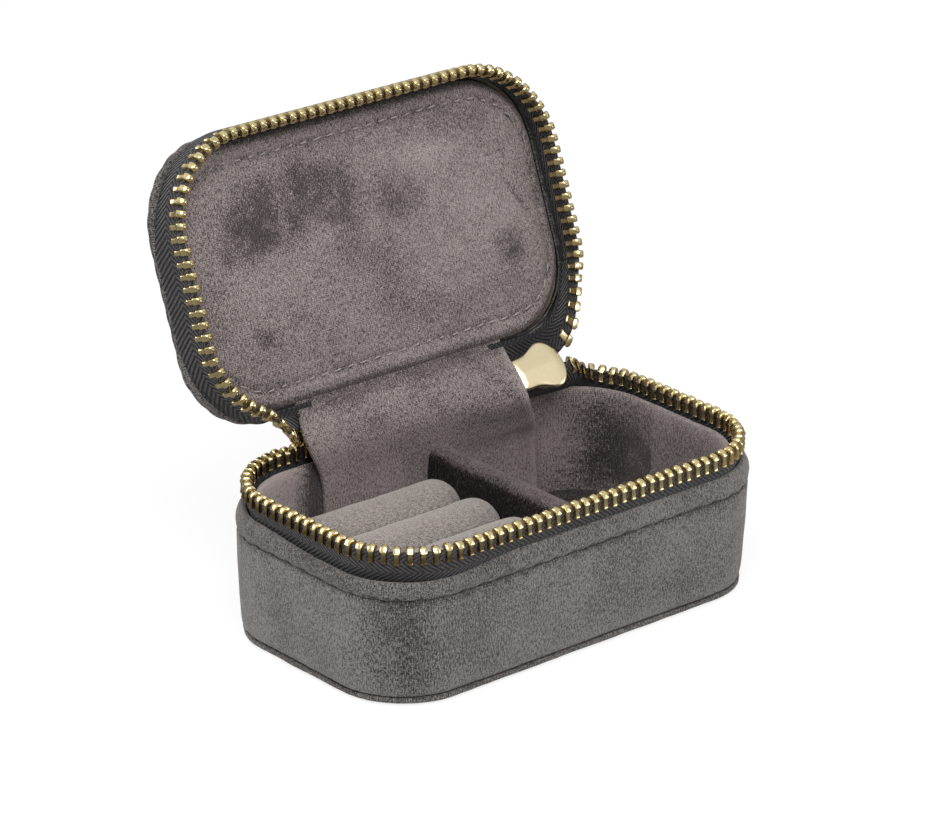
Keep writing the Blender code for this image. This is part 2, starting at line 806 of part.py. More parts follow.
def build():
    clear_scene()
    build_base_case()
    build_base_inside()
    build_hinge_strip()
    build_hinge_flap()

    base_start = zip_length_at(BASE_CHAIN_LEFT, True)
    lid_start = zip_length_at(LID_CHAIN_LEFT, True)
    end = zip_length_at(CHAIN_RIGHT, False)
    phase = math.fmod(lid_start - base_start, PITCH)
    stagger = math.fmod(1.5 * PITCH - phase, PITCH)
    lid = hinge_frame("lid_hinge_line", LID_OPEN)
    build_tape("base_zip_tape", base_start, end, BAND_TOP + GAP, SEAM_Z + 0.6 * MM, 1)
    build_chain("base_zip_teeth", base_start, end, 1, 0.0)
    build_stop("base_top_stop", BASE_CHAIN_LEFT + GAP, 1)
    build_stop("lid_top_stop", LID_CHAIN_LEFT + GAP, -1, lid)
    build_lid(lid)
    build_tape("lid_zip_tape", lid_start, end, LID_BAND_Z - GAP, LID_SEAM_Z - 0.9 * MM, -1, lid)
    build_chain("lid_zip_teeth", lid_start, end, -1, stagger, lid)

    zip_end = hinge_frame("zip_end_line", LID_OPEN * SLIDER_SHARE)
    build_zip_end(zip_end)
    slider = empty("slider_seat", (SLIDER_X, SLIDER_Y, ZIP_Z), zip_end)
    slider.rotation_euler.z = -SLIDER_YAW
    build_slider(slider)
    pull = empty("pull_pin", (0.0, BAIL_HEIGHT, 0.0), slider)
    pull.rotation_euler.x = PULL_ANGLE
    build_pull(pull)
    bpy.context.view_layer.update()


build()
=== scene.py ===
import math

import bmesh
import bpy
import numpy as np
from mathutils import Matrix, Vector, noise


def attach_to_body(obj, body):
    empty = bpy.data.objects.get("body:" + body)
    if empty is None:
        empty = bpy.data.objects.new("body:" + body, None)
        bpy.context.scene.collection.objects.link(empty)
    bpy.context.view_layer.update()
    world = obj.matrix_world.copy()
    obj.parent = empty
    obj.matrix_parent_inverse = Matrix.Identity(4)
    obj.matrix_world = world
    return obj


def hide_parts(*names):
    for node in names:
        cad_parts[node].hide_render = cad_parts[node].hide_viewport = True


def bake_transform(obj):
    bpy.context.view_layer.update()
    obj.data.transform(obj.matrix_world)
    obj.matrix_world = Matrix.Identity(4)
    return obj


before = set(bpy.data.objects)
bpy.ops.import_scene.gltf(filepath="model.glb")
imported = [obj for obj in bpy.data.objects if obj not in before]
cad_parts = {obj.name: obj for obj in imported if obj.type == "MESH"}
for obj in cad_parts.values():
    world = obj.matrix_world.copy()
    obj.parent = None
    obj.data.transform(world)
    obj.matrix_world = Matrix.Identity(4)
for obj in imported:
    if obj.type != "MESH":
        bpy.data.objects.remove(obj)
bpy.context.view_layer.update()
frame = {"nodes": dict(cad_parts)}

# Everything below is worked out in millimetres and scaled when a mesh is made.
MM = 0.001

# hinge line and how far each body is turned open at rest, in degrees
HINGE_Y = 28.1
HINGE_Z = 38.3
LID_TURN = 111.3
END_TURN = 0.45 * LID_TURN

# outlines as half length, half width, corner radius
BASE = (50.0, 28.6, 16.5)
BASE_ZIP = (48.2, 27.8, 16.6)
LINING = (46.3, 25.7, 15.4)
LID = (48.7, 28.3, 16.2)
LID_ZIP = (46.9, 27.8, 18.2)
LID_LINING = (46.0, 26.3, 16.4)
PANEL = (45.9, 26.3, 16.0)
PANEL_SEWN = (43.6, 22.3, 13.0)

TAPER = 0.6                        # how much narrower the base is at its foot
SEAM_Z = 22.0
ZIP_Z = 32.1                       # the plane in which the two chains close
LID_SEAM_Z = 40.15
LID_SEAM_RISE = 1.35
LID_CREST_Z = 43.45
PANEL_Z = 38.45
PITCH = 2.4                        # of the teeth
STITCH = 4.6                       # spacing of the puckers along a seam
PANEL_STITCH = 3.3
STRIP_LEFT = -23.0
STRIP_RIGHT = 21.0

# where the slider is parked, its slant in degrees, and the span of the joined tape ends behind it
SLIDER_X = 30.0
SLIDER_Y = 28.2
SLIDER_YAW = 12.0
ZIP_END = (21.4, 24.6)

# where the free ends of the chains leave their own plane
LEFT_BEND = (-38.0, -25.0)
RIGHT_BEND = (45.0, 36.4)
LID_RIGHT_BEND = (46.0, 28.2)

# X along the back of the first tooth, the places where the row leaves its plane, the last tooth and the tape's end
BASE_ROW = (-25.3, 46.8, 37.0, 22.0)
LID_ROW = (-26.0, -38.6, 46.2, 36.6, 23.0)

# hidden edge of each tape: how far outside the chain, and its height
BASE_TUCK = (-0.95, 24.2)
LID_TUCK = (0.75, 39.6)

DIVIDER_X = 4.9
DIVIDER_HALF = 2.4
DIVIDER_TOP = 24.9

ROLL_LEFTS = (-33.4, -43.8, -43.8, -33.4)
ROLL_RIGHT = 2.7
ROLL_RADIUS = 6.1
ROLL_Z = 14.5
ROLL_PITCH = 12.0
ROLL_SHIFT = -1.2
ROLL_END = 4.0                     # length of a roll's rounded end
ROLL_SIDES = 40


# ---- numbers

def smooth(edge0, edge1, value):
    t = np.clip((np.asarray(value, float) - edge0) / (edge1 - edge0), 0.0, 1.0)
    return t * t * (3.0 - 2.0 * t)


def wave(x, y, scale, seed):
    """Smooth noise from -1 to 1 at one place."""
    return noise.noise(Vector((x / scale, y / scale, seed * 7.31)))


def waves(x, y, scale, seed):
    """The same noise over two tables whose shapes fit each other."""
    x, y = np.broadcast_arrays(x, y)
    return np.array([wave(a, b, scale, seed) for a, b in zip(x.flat, y.flat)]).reshape(x.shape)


def sheet(x, y, z):
    """Grid of points from three tables whose shapes fit each other."""
    return np.stack(np.broadcast_arrays(x, y, z), -1)


def bell(value, middle, width):
    """1 at the middle, falling to 0 over about two widths."""
    return np.exp(-((value - middle) / width) ** 2)


def turned(points, degrees):
    """Points turned open about the hinge line by an angle, or by one angle each."""
    p = np.array(points, float)
    angle = np.radians(np.asarray(degrees, float))
    c, s = np.cos(angle), np.sin(angle)
    y = p[..., 1] - HINGE_Y
    z = p[..., 2] - HINGE_Z
    p[..., 1] = y * c + z * s + HINGE_Y
    p[..., 2] = -y * s + z * c + HINGE_Z
    return p


def opened(points):
    return turned(points, LID_TURN)


def lifted(points, flare=0.0):
    """Closed lid points with the seam raised round the back left, where more tape shows.

    A flare spreads them outwards as well, for the tape.
    """
    p = np.array(points, float)
    x, y, z = p[..., 0], p[..., 1], p[..., 2]
    share = smooth(-28.0, -40.0, x) * smooth(-20.0, -7.0, y) * smooth(36.5, 40.0, z) * smooth(43.3, 40.3, z)
    p[..., 2] += LID_SEAM_RISE * share
    p[..., :2] *= 1.0 + flare * share[..., None]
    return p


def flared(points):
    return lifted(points, 0.016)


class Outline:
    """A rounded rectangle walked by length: back middle, left, front, right, back middle."""

    def __init__(self, size):
        self.hx, self.hy, self.r = size
        sx, sy, quarter = self.hx - self.r, self.hy - self.r, math.pi / 2 * self.r
        self.parts = [
            ("line", sx, (0.0, self.hy), (-1.0, 0.0)), ("arc", quarter, (-sx, sy), 90.0),
            ("line", 2 * sy, (-self.hx, sy), (0.0, -1.0)), ("arc", quarter, (-sx, -sy), 180.0),
            ("line", 2 * sx, (-sx, -self.hy), (1.0, 0.0)), ("arc", quarter, (sx, -sy), 270.0),
            ("line", 2 * sy, (self.hx, -sy), (0.0, 1.0)), ("arc", quarter, (sx, sy), 0.0),
            ("line", sx, (sx, self.hy), (-1.0, 0.0)),
        ]
        self.length = sum(part[1] for part in self.parts)

    def at(self, distance):
        """Point, outward direction and forward direction."""
        distance = distance % self.length
        for kind, length, anchor, heading in self.parts:
            if distance <= length:
                break
            distance -= length
        if kind == "line":
            forward = np.array(heading)
            point = np.array(anchor) + forward * distance
        else:
            angle = math.radians(heading) + distance / self.r
            point = np.array(anchor) + self.r * np.array((math.cos(angle), math.sin(angle)))
            forward = np.array((-math.sin(angle), math.cos(angle)))
        return point, np.array((forward[1], -forward[0])), forward

    def back(self, x):
        """Distance where the back run crosses X: the left side if X is negative."""
        sx = self.hx - self.r
        if x <= 0:
            return -x if -x <= sx else sx + self.r * math.asin((-x - sx) / self.r)
        return self.length - (x if x <= sx else sx + self.r * math.asin((x - sx) / self.r))

    def sections(self, start, end, step):
        count = max(2, int(round((end - start) / step)) + 1)
        return np.linspace(start, end, count)

    def round(self, step):
        """Distances once round, without the last, which is the first again."""
        return self.sections(0.0, self.length, step)[:-1]


def lay(outline, stations, across, height):
    """Grid of points: across and height are (rows, stations) tables, or one value per row."""
    frames = [outline.at(s) for s in stations]
    base = np.array([f[0] for f in frames])
    out = np.array([f[1] for f in frames])
    across, height = (np.broadcast_to(np.asarray(table, float).reshape(len(table), -1), (len(table), len(stations)))
                      for table in (across, height))
    grid = np.zeros((len(across), len(stations), 3))
    grid[..., 0] = base[:, 0] + out[:, 0] * across
    grid[..., 1] = base[:, 1] + out[:, 1] * across
    grid[..., 2] = height
    return grid


def resample(profile, step):
    """A smooth curve through profile points, at about equal steps."""
    p = np.array(profile, float)
    pad = np.vstack([2 * p[0] - p[1], p, 2 * p[-1] - p[-2]])
    fine = []
    for i in range(1, len(pad) - 2):
        a, b, c, d = pad[i - 1], pad[i], pad[i + 1], pad[i + 2]
        for t in np.linspace(0, 1, 12, endpoint=False):
            fine.append(0.5 * (2 * b + (c - a) * t + (2 * a - 5 * b + 4 * c - d) * t * t
                               + (3 * b - a - 3 * c + d) * t ** 3))
    fine.append(p[-1])
    fine = np.array(fine)
    run = np.concatenate([[0], np.cumsum(np.linalg.norm(np.diff(fine, axis=0), axis=1))])
    wanted = np.linspace(0, run[-1], max(2, int(round(run[-1] / step)) + 1))
    return np.stack([np.interp(wanted, run, fine[:, k]) for k in range(fine.shape[1])], 1)


# ---- meshes

def new_object(name, mesh, mat, smooth_angle=None):
    mesh.materials.append(mat)
    mesh.shade_smooth()
    if smooth_angle:
        mesh.set_sharp_from_angle(angle=math.radians(smooth_angle))
    made = bpy.data.objects.new(name, mesh)
    bpy.context.scene.collection.objects.link(made)
    return made


def face_outward(mesh, fill=False):
    """Turns all faces outwards. Holes can be filled first, with one face each."""
    bm = bmesh.new()
    bm.from_mesh(mesh)
    if fill:
        bmesh.ops.holes_fill(bm, edges=[edge for edge in bm.edges if edge.is_boundary], sides=0)
    bmesh.ops.recalc_face_normals(bm, faces=bm.faces[:])
    bm.to_mesh(mesh)
    bm.free()


def cloth(name, grid, mat, wrap=False, nap_and_shade=None, thick=0.0, caps=(False, False)):
    """A sheet from a grid of points, with UVs in millimetres and a value per point that holds the pile's tone and
    painted shade and light.

    A cap closes the first or last row with one face, or with a "spine" of quads.
    """
    rows, cols, _ = grid.shape
    mesh = bpy.data.meshes.new(name)
    verts = (grid.reshape(-1, 3) * MM).tolist()
    faces, spots = [], []
    along = np.zeros((rows, cols + 1))
    closed = np.concatenate([grid, grid[:, :1]], 1)
    along[:, 1:] = np.cumsum(np.linalg.norm(np.diff(closed, axis=1), axis=2), axis=1)
    along = along.mean(0)
    over = np.zeros((rows, cols))
    over[1:] = np.cumsum(np.linalg.norm(np.diff(grid, axis=0), axis=2), axis=0)
    over = over.mean(1)
    for r in range(rows - 1):
        for c in range(cols if wrap else cols - 1):
            d = (c + 1) % cols
            faces.append((r * cols + c, r * cols + d, (r + 1) * cols + d, (r + 1) * cols + c))
            spots.append(((along[c], over[r]), (along[c + 1], over[r]),
                          (along[c + 1], over[r + 1]), (along[c], over[r + 1])))
    for end, row in zip(caps, (0, rows - 1)):
        ring = [row * cols + c for c in range(cols)]
        pieces = [ring] if end else []
        if end == "spine":
            quarter, half = cols // 4, cols // 2
            pieces = [dict.fromkeys((k, k + 1, half - k - 1, half - k)) for k in range(-quarter, quarter)]
            pieces = [[ring[k % cols] for k in piece] for piece in pieces if len(piece) > 2]
        for piece in pieces:
            faces.append(piece)
            spots.append([(verts[i][0] * 1000.0, verts[i][1] * 1000.0) for i in piece])
    mesh.from_pydata(verts, [], faces)
    layer = mesh.uv_layers.new(name="mm")
    layer.data.foreach_set("uv", [value for spot in spots for pair in spot for value in pair])
    tone = mesh.attributes.new("nap_and_shade", "FLOAT", "POINT")
    tone.data.foreach_set("value", np.zeros(rows * cols) if nap_and_shade is None else np.ravel(nap_and_shade))
    mesh.validate()
    made = new_object(name, mesh, mat)
    if wrap or any(caps):
        face_outward(mesh)
    if thick:
        shell = made.modifiers.new("thickness", "SOLIDIFY")
        shell.thickness = thick * MM
        shell.offset = 0.0
    return made


def square_weave(item, grid, above):
    """UVs straight from X and Y for the faces higher than a height of the closed grid."""
    source = grid.reshape(-1, 3)
    layer = item.data.uv_layers["mm"].data
    for face in item.data.polygons:
        if min(source[v][2] for v in face.vertices) > above:
            for index, v in zip(face.loop_indices, face.vertices):
                layer[index].uv = source[v][:2]


def loft(bm, rings):
    """Skin over closed rings of points in millimetres, with flat ends."""
    rows = [[bm.verts.new(p * MM) for p in ring] for ring in rings]
    for low, high in zip(rows, rows[1:]):
        for k in range(len(low)):
            j = (k + 1) % len(low)
            bm.faces.new((low[k], low[j], high[j], high[k]))
    bm.faces.new(rows[0][::-1])
    bm.faces.new(rows[-1])


def finish_bm(name, bm, mat, angle=None):
    bmesh.ops.recalc_face_normals(bm, faces=bm.faces[:])
    mesh = bpy.data.meshes.new(name)
    bm.to_mesh(mesh)
    bm.free()
    return new_object(name, mesh, mat, angle)


def bake(item):
    """Applies the modifiers, so that a blend sees the final mesh."""
    graph = bpy.context.evaluated_depsgraph_get()
    mesh = bpy.data.meshes.new_from_object(item.evaluated_get(graph))
    item.modifiers.clear()
    item.data = mesh


def attach(item, slot_name, body, *nodes):
    """Hides the CAD nodes that a piece stands for and hangs the piece on its body, if it has one. The slot name is
    not used.
    """
    if nodes:
        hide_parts(*nodes)
    if body:
        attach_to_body(item, body)


def blend(item):
    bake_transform(item)


# ---- materials

class Value:
    """The output of a node. Adding, subtracting and multiplying make math nodes."""

    def __init__(self, nodes, socket):
        self.nodes, self.socket = nodes, socket

    def __add__(self, other):
        return self.nodes.math("ADD", self, other)

    def __radd__(self, other):
        return self.nodes.math("ADD", other, self)

    def __sub__(self, other):
        return self.nodes.math("SUBTRACT", self, other)

    def __rsub__(self, other):
        return self.nodes.math("SUBTRACT", other, self)

    def __mul__(self, other):
        return self.nodes.math("MULTIPLY", self, other)


class Nodes:
    """Short ways to write the node tree of a material or world."""

    def __init__(self, owner):
        owner.use_nodes = True
        self.owner, self.tree = owner, owner.node_tree

    def feed(self, socket, value):
        if isinstance(value, Value):
            self.tree.links.new(value.socket, socket)
        else:
            socket.default_value = value

    def add(self, kind, inputs, output=0, **settings):
        """A new node with its inputs fed, and one of its outputs."""
        node = self.tree.nodes.new(kind)
        for key, value in settings.items():
            setattr(node, key, value)
        for key, value in inputs.items():
            self.feed(node.inputs[key], value)
        return Value(self, node.outputs[output])

    def surface(self, inputs):
        """Feeds the main shader and returns the material."""
        for key, value in inputs.items():
            self.feed(self.tree.nodes["Principled BSDF"].inputs[key], value)
        return self.owner

    def math(self, operation, a, b=0.0, clamp=False):
        return self.add("ShaderNodeMath", {0: a, 1: b}, operation=operation, use_clamp=clamp)

    def mm(self):
        """UV in millimetres."""
        return self.add("ShaderNodeUVMap", {}, uv_map="mm")

    def space(self):
        """Object coordinates in millimetres."""
        place = self.add("ShaderNodeTexCoord", {}, "Object")
        return self.add("ShaderNodeVectorMath", {0: place, "Scale": 1000.0}, operation="SCALE")

    def axis(self, vector, index):
        return self.add("ShaderNodeSeparateXYZ", {0: vector}, index)

    def scaled(self, vector, x, y, z=1.0, turn=0.0):
        return self.add("ShaderNodeMapping", {"Vector": vector, "Scale": (x, y, z), "Rotation": (0.0, 0.0, turn)})

    def noise(self, vector, scale=1.0, detail=2.0, rough=0.5, distortion=0.0):
        return self.add("ShaderNodeTexNoise", {"Vector": vector, "Scale": scale, "Detail": detail,
                                               "Roughness": rough, "Distortion": distortion})

    def bands(self, vector, scale, direction, distortion, detail):
        return self.add("ShaderNodeTexWave", {"Vector": vector, "Scale": scale, "Distortion": distortion,
                                              "Detail": detail}, "Fac", wave_type="BANDS", bands_direction=direction)

    def ramp(self, value, low, high):
        """0 at low and 1 at high."""
        return self.add("ShaderNodeMapRange", {"Value": value, "From Min": low, "From Max": high,
                                               "To Min": 0.0, "To Max": 1.0}, clamp=True)

    def mix(self, factor, a, b):
        a, b = (value if isinstance(value, Value) else (*value, 1.0) for value in (a, b))
        return self.add("ShaderNodeMix", {"Factor": factor, 6: a, 7: b}, 2, data_type="RGBA")

    def bump(self, height, strength, distance):
        return self.add("ShaderNodeBump", {"Height": height, "Strength": strength, "Distance": distance})

    def attribute(self, name):
        return self.add("ShaderNodeAttribute", {}, "Fac", attribute_name=name)


def velvet(name, dark, light, rib, grain, patch, sheen, edge, rib_high=1.0):
    """Short-pile velvet: woven ribs, fine fibre grain and brushed pile patches, a per-point tone that also carries
    painted shade and light, and a painted sheen towards grazing edges.
    """
    n = Nodes(bpy.data.materials.new(name))
    uv, where = n.mm(), n.space()
    fibre = n.noise(n.scaled(uv, 3.0, 1.0), 1.0, 3.0, 0.7)
    speck = n.noise(n.scaled(uv, 4.4, 2.6), 1.0, 2.0, 0.7)
    wobble = n.noise(n.scaled(uv, 0.5, 0.25), 1.0, 2.0, 0.5)
    rows = n.bands(n.scaled(uv, 1.0, 0.12), 0.5 / rib, "X", 2.2, 2.0)
    cross = n.bands(n.scaled(uv, 0.12, 1.0), 0.42 / rib, "Y", 3.0, 2.0)
    weave = (rows + cross * 0.55) * 0.6
    broad = n.ramp(n.noise(where, 0.055, 3.0, 0.55, 0.6), 0.42, 0.66)
    small = n.ramp(n.noise(where, 0.19, 4.0, 0.6, 0.9), 0.45, 0.72)
    tone = broad * (-0.34 * patch) + small * (-0.26 * patch)
    tone = tone + (fibre - 0.5) * (1.9 * grain) + (speck - 0.5) * (1.9 * grain)
    tone = tone + (weave - 0.45) * (0.42 * rib_high) + (wobble - 0.5) * 0.35 + n.attribute("nap_and_shade")
    colour = n.mix(n.math("ADD", tone, 0.62, clamp=True), dark, light)
    # painted sheen: the colour is mixed towards a paler copy where the surface turns away from the camera
    rim = n.math("POWER", n.add("ShaderNodeLayerWeight", {"Blend": 0.5}, "Facing"), 2.5)
    painted_sheen_colour = tuple(min(1.0, channel * 1.9) for channel in light)
    tint = tuple(min(1.0, channel * 3.2) for channel in light)
    high = fibre * 0.6 + speck * 0.5 + weave * (0.5 * rib_high)
    return n.surface({"Base Color": n.mix(n.math("MULTIPLY", rim, edge, clamp=True), colour, painted_sheen_colour),
                      "Roughness": 0.95, "Specular IOR Level": 0.12, "Sheen Weight": sheen, "Sheen Roughness": 0.45,
                      "Sheen Tint": (*tint, 1.0), "Normal": n.bump(high, 0.85, 0.0004)})


def twill(name, dark, light, size):
    """Zipper tape: a herringbone of fine slanted cords with bright fibre specks."""
    n = Nodes(bpy.data.materials.new(name))
    uv = n.mm()
    left, right = (n.bands(n.scaled(uv, 1.0, 1.0, 1.0, math.radians(slant)), 0.5 / size, "X", 1.4, 2.0)
                   for slant in (52, -52))
    zone = n.math("GREATER_THAN", n.math("SINE", n.axis(uv, 1) * (math.pi / 2.6)), 0.0)
    cord = left * zone + right * (1.0 - zone)
    thread = n.noise(n.scaled(uv, 4.2, 1.7), 1.0, 3.0, 0.7)
    speck = n.ramp(n.noise(n.scaled(uv, 5.0, 2.6), 1.0, 2.0, 0.6), 0.56, 0.74)
    tone = cord * 0.5 + (thread - 0.45) * 0.9 + speck * 0.4
    # the per-point tone carries painted shade: the tape is darker towards its hidden edge, most on its inner side
    tone = n.math("ADD", tone, n.attribute("nap_and_shade"), clamp=True)
    return n.surface({"Base Color": n.mix(tone, dark, light), "Roughness": 0.8, "Specular IOR Level": 0.25,
                      "Sheen Weight": 0.15, "Normal": n.bump(cord + thread * 0.6, 0.9, 0.0003)})


def metal(name, colour, tarnish, rough, worn, leg_shade_and_patina=0.0):
    """Plated metal: fine scratches, dull tarnish in patches and brighter worn edges."""
    n = Nodes(bpy.data.materials.new(name))
    where = n.space()
    cloud = n.noise(where, 0.9, 4.0, 0.6)
    grit = n.noise(where, 7.0, 2.0, 0.6)
    hair = n.noise(n.scaled(where, 9.0, 1.2, 1.2), 1.0, 2.0, 0.6)
    dirt = n.ramp(cloud * 0.95 + grit * 0.1, 0.42, 0.8)
    edge = n.ramp(n.add("ShaderNodeNewGeometry", {}, "Pointiness"), 0.52, 0.62)
    shade = n.math("SUBTRACT", dirt * worn, edge * 0.3, clamp=True)
    if leg_shade_and_patina:
        # painted shade with some patina: the legs of the base's teeth are browner lower down and towards the left
        legs = n.ramp(n.axis(where, 2), 31.5, 29.8) * n.ramp(n.axis(where, 0), 5.0, -30.0)
        shade = n.math("ADD", shade, legs * leg_shade_and_patina, clamp=True)
    return n.surface({"Base Color": n.mix(shade, colour, tarnish), "Metallic": 1.0,
                      "Roughness": rough + cloud * 0.12, "Normal": n.bump(hair + grit, 0.06, 0.00005)})


def greyboard(name, dark, light):
    """Mottled matt board with short fibres."""
    n = Nodes(bpy.data.materials.new(name))
    tone = n.noise(n.space(), 0.8, 5.0, 0.65)
    return n.surface({"Base Color": n.mix(n.ramp(tone, 0.3, 0.7), dark, light), "Roughness": 0.9,
                      "Normal": n.bump(tone, 0.5, 0.0002)})


def thread_finish(name, colour):
    n = Nodes(bpy.data.materials.new(name))
    ply = n.bands(n.scaled(n.space(), 1.0, 1.0, 1.0, 0.6), 1.6, "X", 0.6, 1.0)
    return n.surface({"Base Color": n.mix(ply, tuple(c * 0.6 for c in colour), colour), "Roughness": 0.75,
                      "Normal": n.bump(ply, 0.6, 0.0001)})


# velvet: dark and light colour, rib in mm, grain, patches, sheen, painted sheen at grazing edges, rib height
# metal: colour, tarnish, roughness, wear, painted leg shade and patina
OUTER = velvet("outer_velvet", (0.020, 0.019, 0.020), (0.200, 0.187, 0.178), 0.52, 1.9, 0.7, 0.25, 0.35)
INNER = velvet("inner_velvet", (0.026, 0.021, 0.021), (0.310, 0.264, 0.256), 0.55, 1.5, 0.55, 0.22, 0.25)
FACE = velvet("panel_velvet", (0.034, 0.028, 0.028), (0.315, 0.268, 0.260), 0.55, 1.45, 0.3, 0.22, 0.2)
ROLL = velvet("roll_velvet", (0.074, 0.065, 0.060), (0.330, 0.296, 0.276), 0.6, 1.3, 0.25, 0.25, 0.3, 0.5)
WALL = velvet("divider_velvet", (0.006, 0.005, 0.005), (0.180, 0.152, 0.147), 0.55, 1.2, 0.4, 0.03, 0.08)
TAPE = twill("tape_twill", (0.006, 0.005, 0.006), (0.112, 0.104, 0.106), 1.15)
BRASS = metal("tooth_brass", (0.76, 0.62, 0.32), (0.20, 0.13, 0.055), 0.13, 0.6, 0.85)
GOLD = metal("slider_gold", (0.76, 0.66, 0.43), (0.52, 0.42, 0.22), 0.24, 0.25)
BOARD = greyboard("greyboard", (0.20, 0.16, 0.11), (0.36, 0.30, 0.22))
DARK_BOARD = greyboard("dark_board", (0.010, 0.009, 0.009), (0.028, 0.026, 0.026))
THREAD = thread_finish("pale_thread", (0.40, 0.365, 0.35))
DARK_THREAD = thread_finish("dark_thread", (0.05, 0.045, 0.045))


# ---- base case

def pucker(stations, seed):
    """1 midway between stitches, 0 at each stitch, uneven like hand-fed sewing."""
    shift = 0.9 * waves(stations, 0.0, 21.0, seed)
    return np.abs(np.sin(math.pi * (np.asarray(stations) + shift) / STITCH))


def seam_line(stations, seed):
    """How far the seam sags below its height along the outline."""
    bulge = pucker(stations, seed)
    drift = waves(stations, 3.0, 33.0, seed)
    uneven = 0.55 + 0.45 * waves(stations, 9.0, 12.0, seed + 5)
    return 0.34 * bulge * uneven - 0.1 + 0.22 * drift


def fabric_wall(outline, stations, profile, seam_z, seed, above, sag=1.0):
    """Grid of a wall of fabric whose seam edge is puckered. Profile rows are (across, height)."""
    across = np.repeat(profile[:, :1], len(stations), 1)
    height = np.repeat(profile[:, 1:], len(stations), 1)
    away = (height - seam_z) if above else (seam_z - height)
    near = np.exp(-np.clip(away, 0, None) / 1.5)
    tug = np.exp(-np.clip(away, 0, None) / 2.6)
    bulge = pucker(stations, seed)[None]
    height -= seam_line(stations, seed)[None] * near * sag
    across += (bulge - 0.6) * 0.30 * tug * (away > 0.12)
    soft = waves(stations, profile[:, 1:], 15.0, seed + 1) + 0.5 * waves(stations, profile[:, 1:], 6.0, seed + 2)
    across += 0.22 * soft * (away > 0.6)
    return lay(outline, stations, across, height)


def capsule(bm, start, end, radius, bow, sides=6):
    """A short curved stitch with rounded ends."""
    start, end, bow = Vector(start), Vector(end), Vector(bow)
    along = (end - start).normalized()
    side = along.cross(bow.normalized()).normalized()
    up = side.cross(along)
    rings = []
    for t, swell in ((0.0, 0.25), (0.12, 0.8), (0.35, 1.0), (0.65, 1.0), (0.88, 0.8), (1.0, 0.25)):
        centre = start.lerp(end, t) + bow * (4 * t * (1 - t))
        angles = [2 * math.pi * k / sides for k in range(sides)]
        rings.append([centre + (side * math.cos(a) + up * math.sin(a)) * radius * swell for a in angles])
    loft(bm, rings)


def build_seam_stitches(outline):
    """Small dark stitches that hold the base's seam, one between each pair of puckers."""
    bm = bmesh.new()
    for k in range(int(outline.length / STITCH)):
        middle = (k + 0.02) * STITCH
        ends = []
        for s in (middle - 0.55, middle + 0.55):
            point, out, _ = outline.at(s)
            ends.append((*(point - out * 0.22), SEAM_Z + 0.05 - seam_line([s], 1)[0]))
        out = outline.at(middle)[1]
        capsule(bm, ends[0], ends[1], 0.16, (out[0] * 0.12, out[1] * 0.12, 0.0))
    attach(finish_bm("base_seam_stitches", bm, DARK_THREAD), "velvet", "base")


def build_base_case():
    outline = Outline(BASE)
    stations = outline.round(0.62)

    side = resample([(-2.6, 1.75), (-1.3, 1.55), (-0.75, 1.65), (-0.38, 2.3), (-0.15, 4.4), (0.05, 12.0),
                     (0.1, 18.0), (0.08, 20.6), (-0.02, 21.4), (-0.3, 21.85), (-1.0, 22.1)], 0.55)
    side[:, 0] -= TAPER * np.clip(1 - side[:, 1] / SEAM_Z, 0, 1)
    grid = fabric_wall(outline, stations, side, SEAM_Z, 1, False)
    x, y, z = grid[..., 0], grid[..., 1], grid[..., 2]
    # the nap is brushed darker round the front left corner
    dark = np.exp(-(((x + 44.0) / 5.5) ** 2 + ((y + 23.0) / 6.5) ** 2) ** 1.5)
    dark = dark * (0.75 + 0.45 * waves(x, z, 9.0, 5))
    # painted shade just under the recessed seam; the wall is also lighter towards its foot and over its left side,
    # apart from the front
    seam_shade = np.exp(-np.clip(SEAM_Z - z, 0, None) / 0.7)
    nap_and_shade = -0.46 * np.clip(dark, 0, 1) - 0.45 * seam_shade + 0.10 * smooth(5.5, 2.0, z)
    nap_and_shade += 0.10 * smooth(0, -40, x) * (y > -24)
    attach(cloth("base_side_velvet", grid, OUTER, True, nap_and_shade), "velvet", "base", "base_side_cover")

    bottom = resample([(-9.0, 0.0), (-3.0, 0.0), (-1.5, 0.05), (-0.75, 0.4), (-0.62, 0.85), (-0.9, 1.25),
                       (-2.4, 1.4)], 0.4)
    bottom[:, 0] -= 0.35
    fuzz = waves(stations, 1.0, 7.0, 8) + 0.6 * waves(stations, 1.0, 2.5, 9)
    edge = (bottom[:, 1] > 0.05)[:, None]
    grid = lay(outline, stations, bottom[:, :1] + 0.16 * fuzz[None] * edge, bottom[:, 1])
    centre = lay(outline, stations, [-26.0], [0.0])
    centre[..., 0] *= 0.6
    centre[..., 1] *= 0.1
    grid = np.concatenate([centre, grid])
    nap_and_shade = np.full(grid.shape[:2], -0.2)
    foot = cloth("base_bottom_velvet", grid, OUTER, True, nap_and_shade, caps=(True, False))
    attach(foot, "velvet", "base", "base_bottom_cover")

    band = resample([(-1.3, 21.6), (-0.5, 21.95), (-0.05, 22.35), (0.18, 23.2), (0.2, 24.3), (-0.02, 25.4),
                     (-0.5, 26.15), (-1.1, 26.45), (-1.7, 26.2), (-2.05, 25.5), (-2.2, 24.2)], 0.4)
    grid = fabric_wall(outline, stations, band, SEAM_Z, 1, True)
    x, y, z = grid[..., 0], grid[..., 1], grid[..., 2]
    # the band is folded a little lower round the front left corner
    z -= 1.25 * (smooth(-18, -34, x) * smooth(14, -6, y)) * smooth(22.6, 26.0, z)
    # painted light and shade: the band is lighter along its rounded top and darker just above the recessed seam; it
    # is darker round the front left corner too
    nap_and_shade = 0.10 * smooth(25.4, 26.3, z) - 0.25 * np.exp(-np.clip(z - 22.2, 0, None) / 0.5)
    nap_and_shade = nap_and_shade - 0.22 * smooth(-40, -48, x) * smooth(-24, -12, y)
    attach(cloth("base_rim_velvet", grid, OUTER, True, nap_and_shade), "velvet", "base", "base_rim_band")
    build_seam_stitches(outline)


# ---- inside of the base

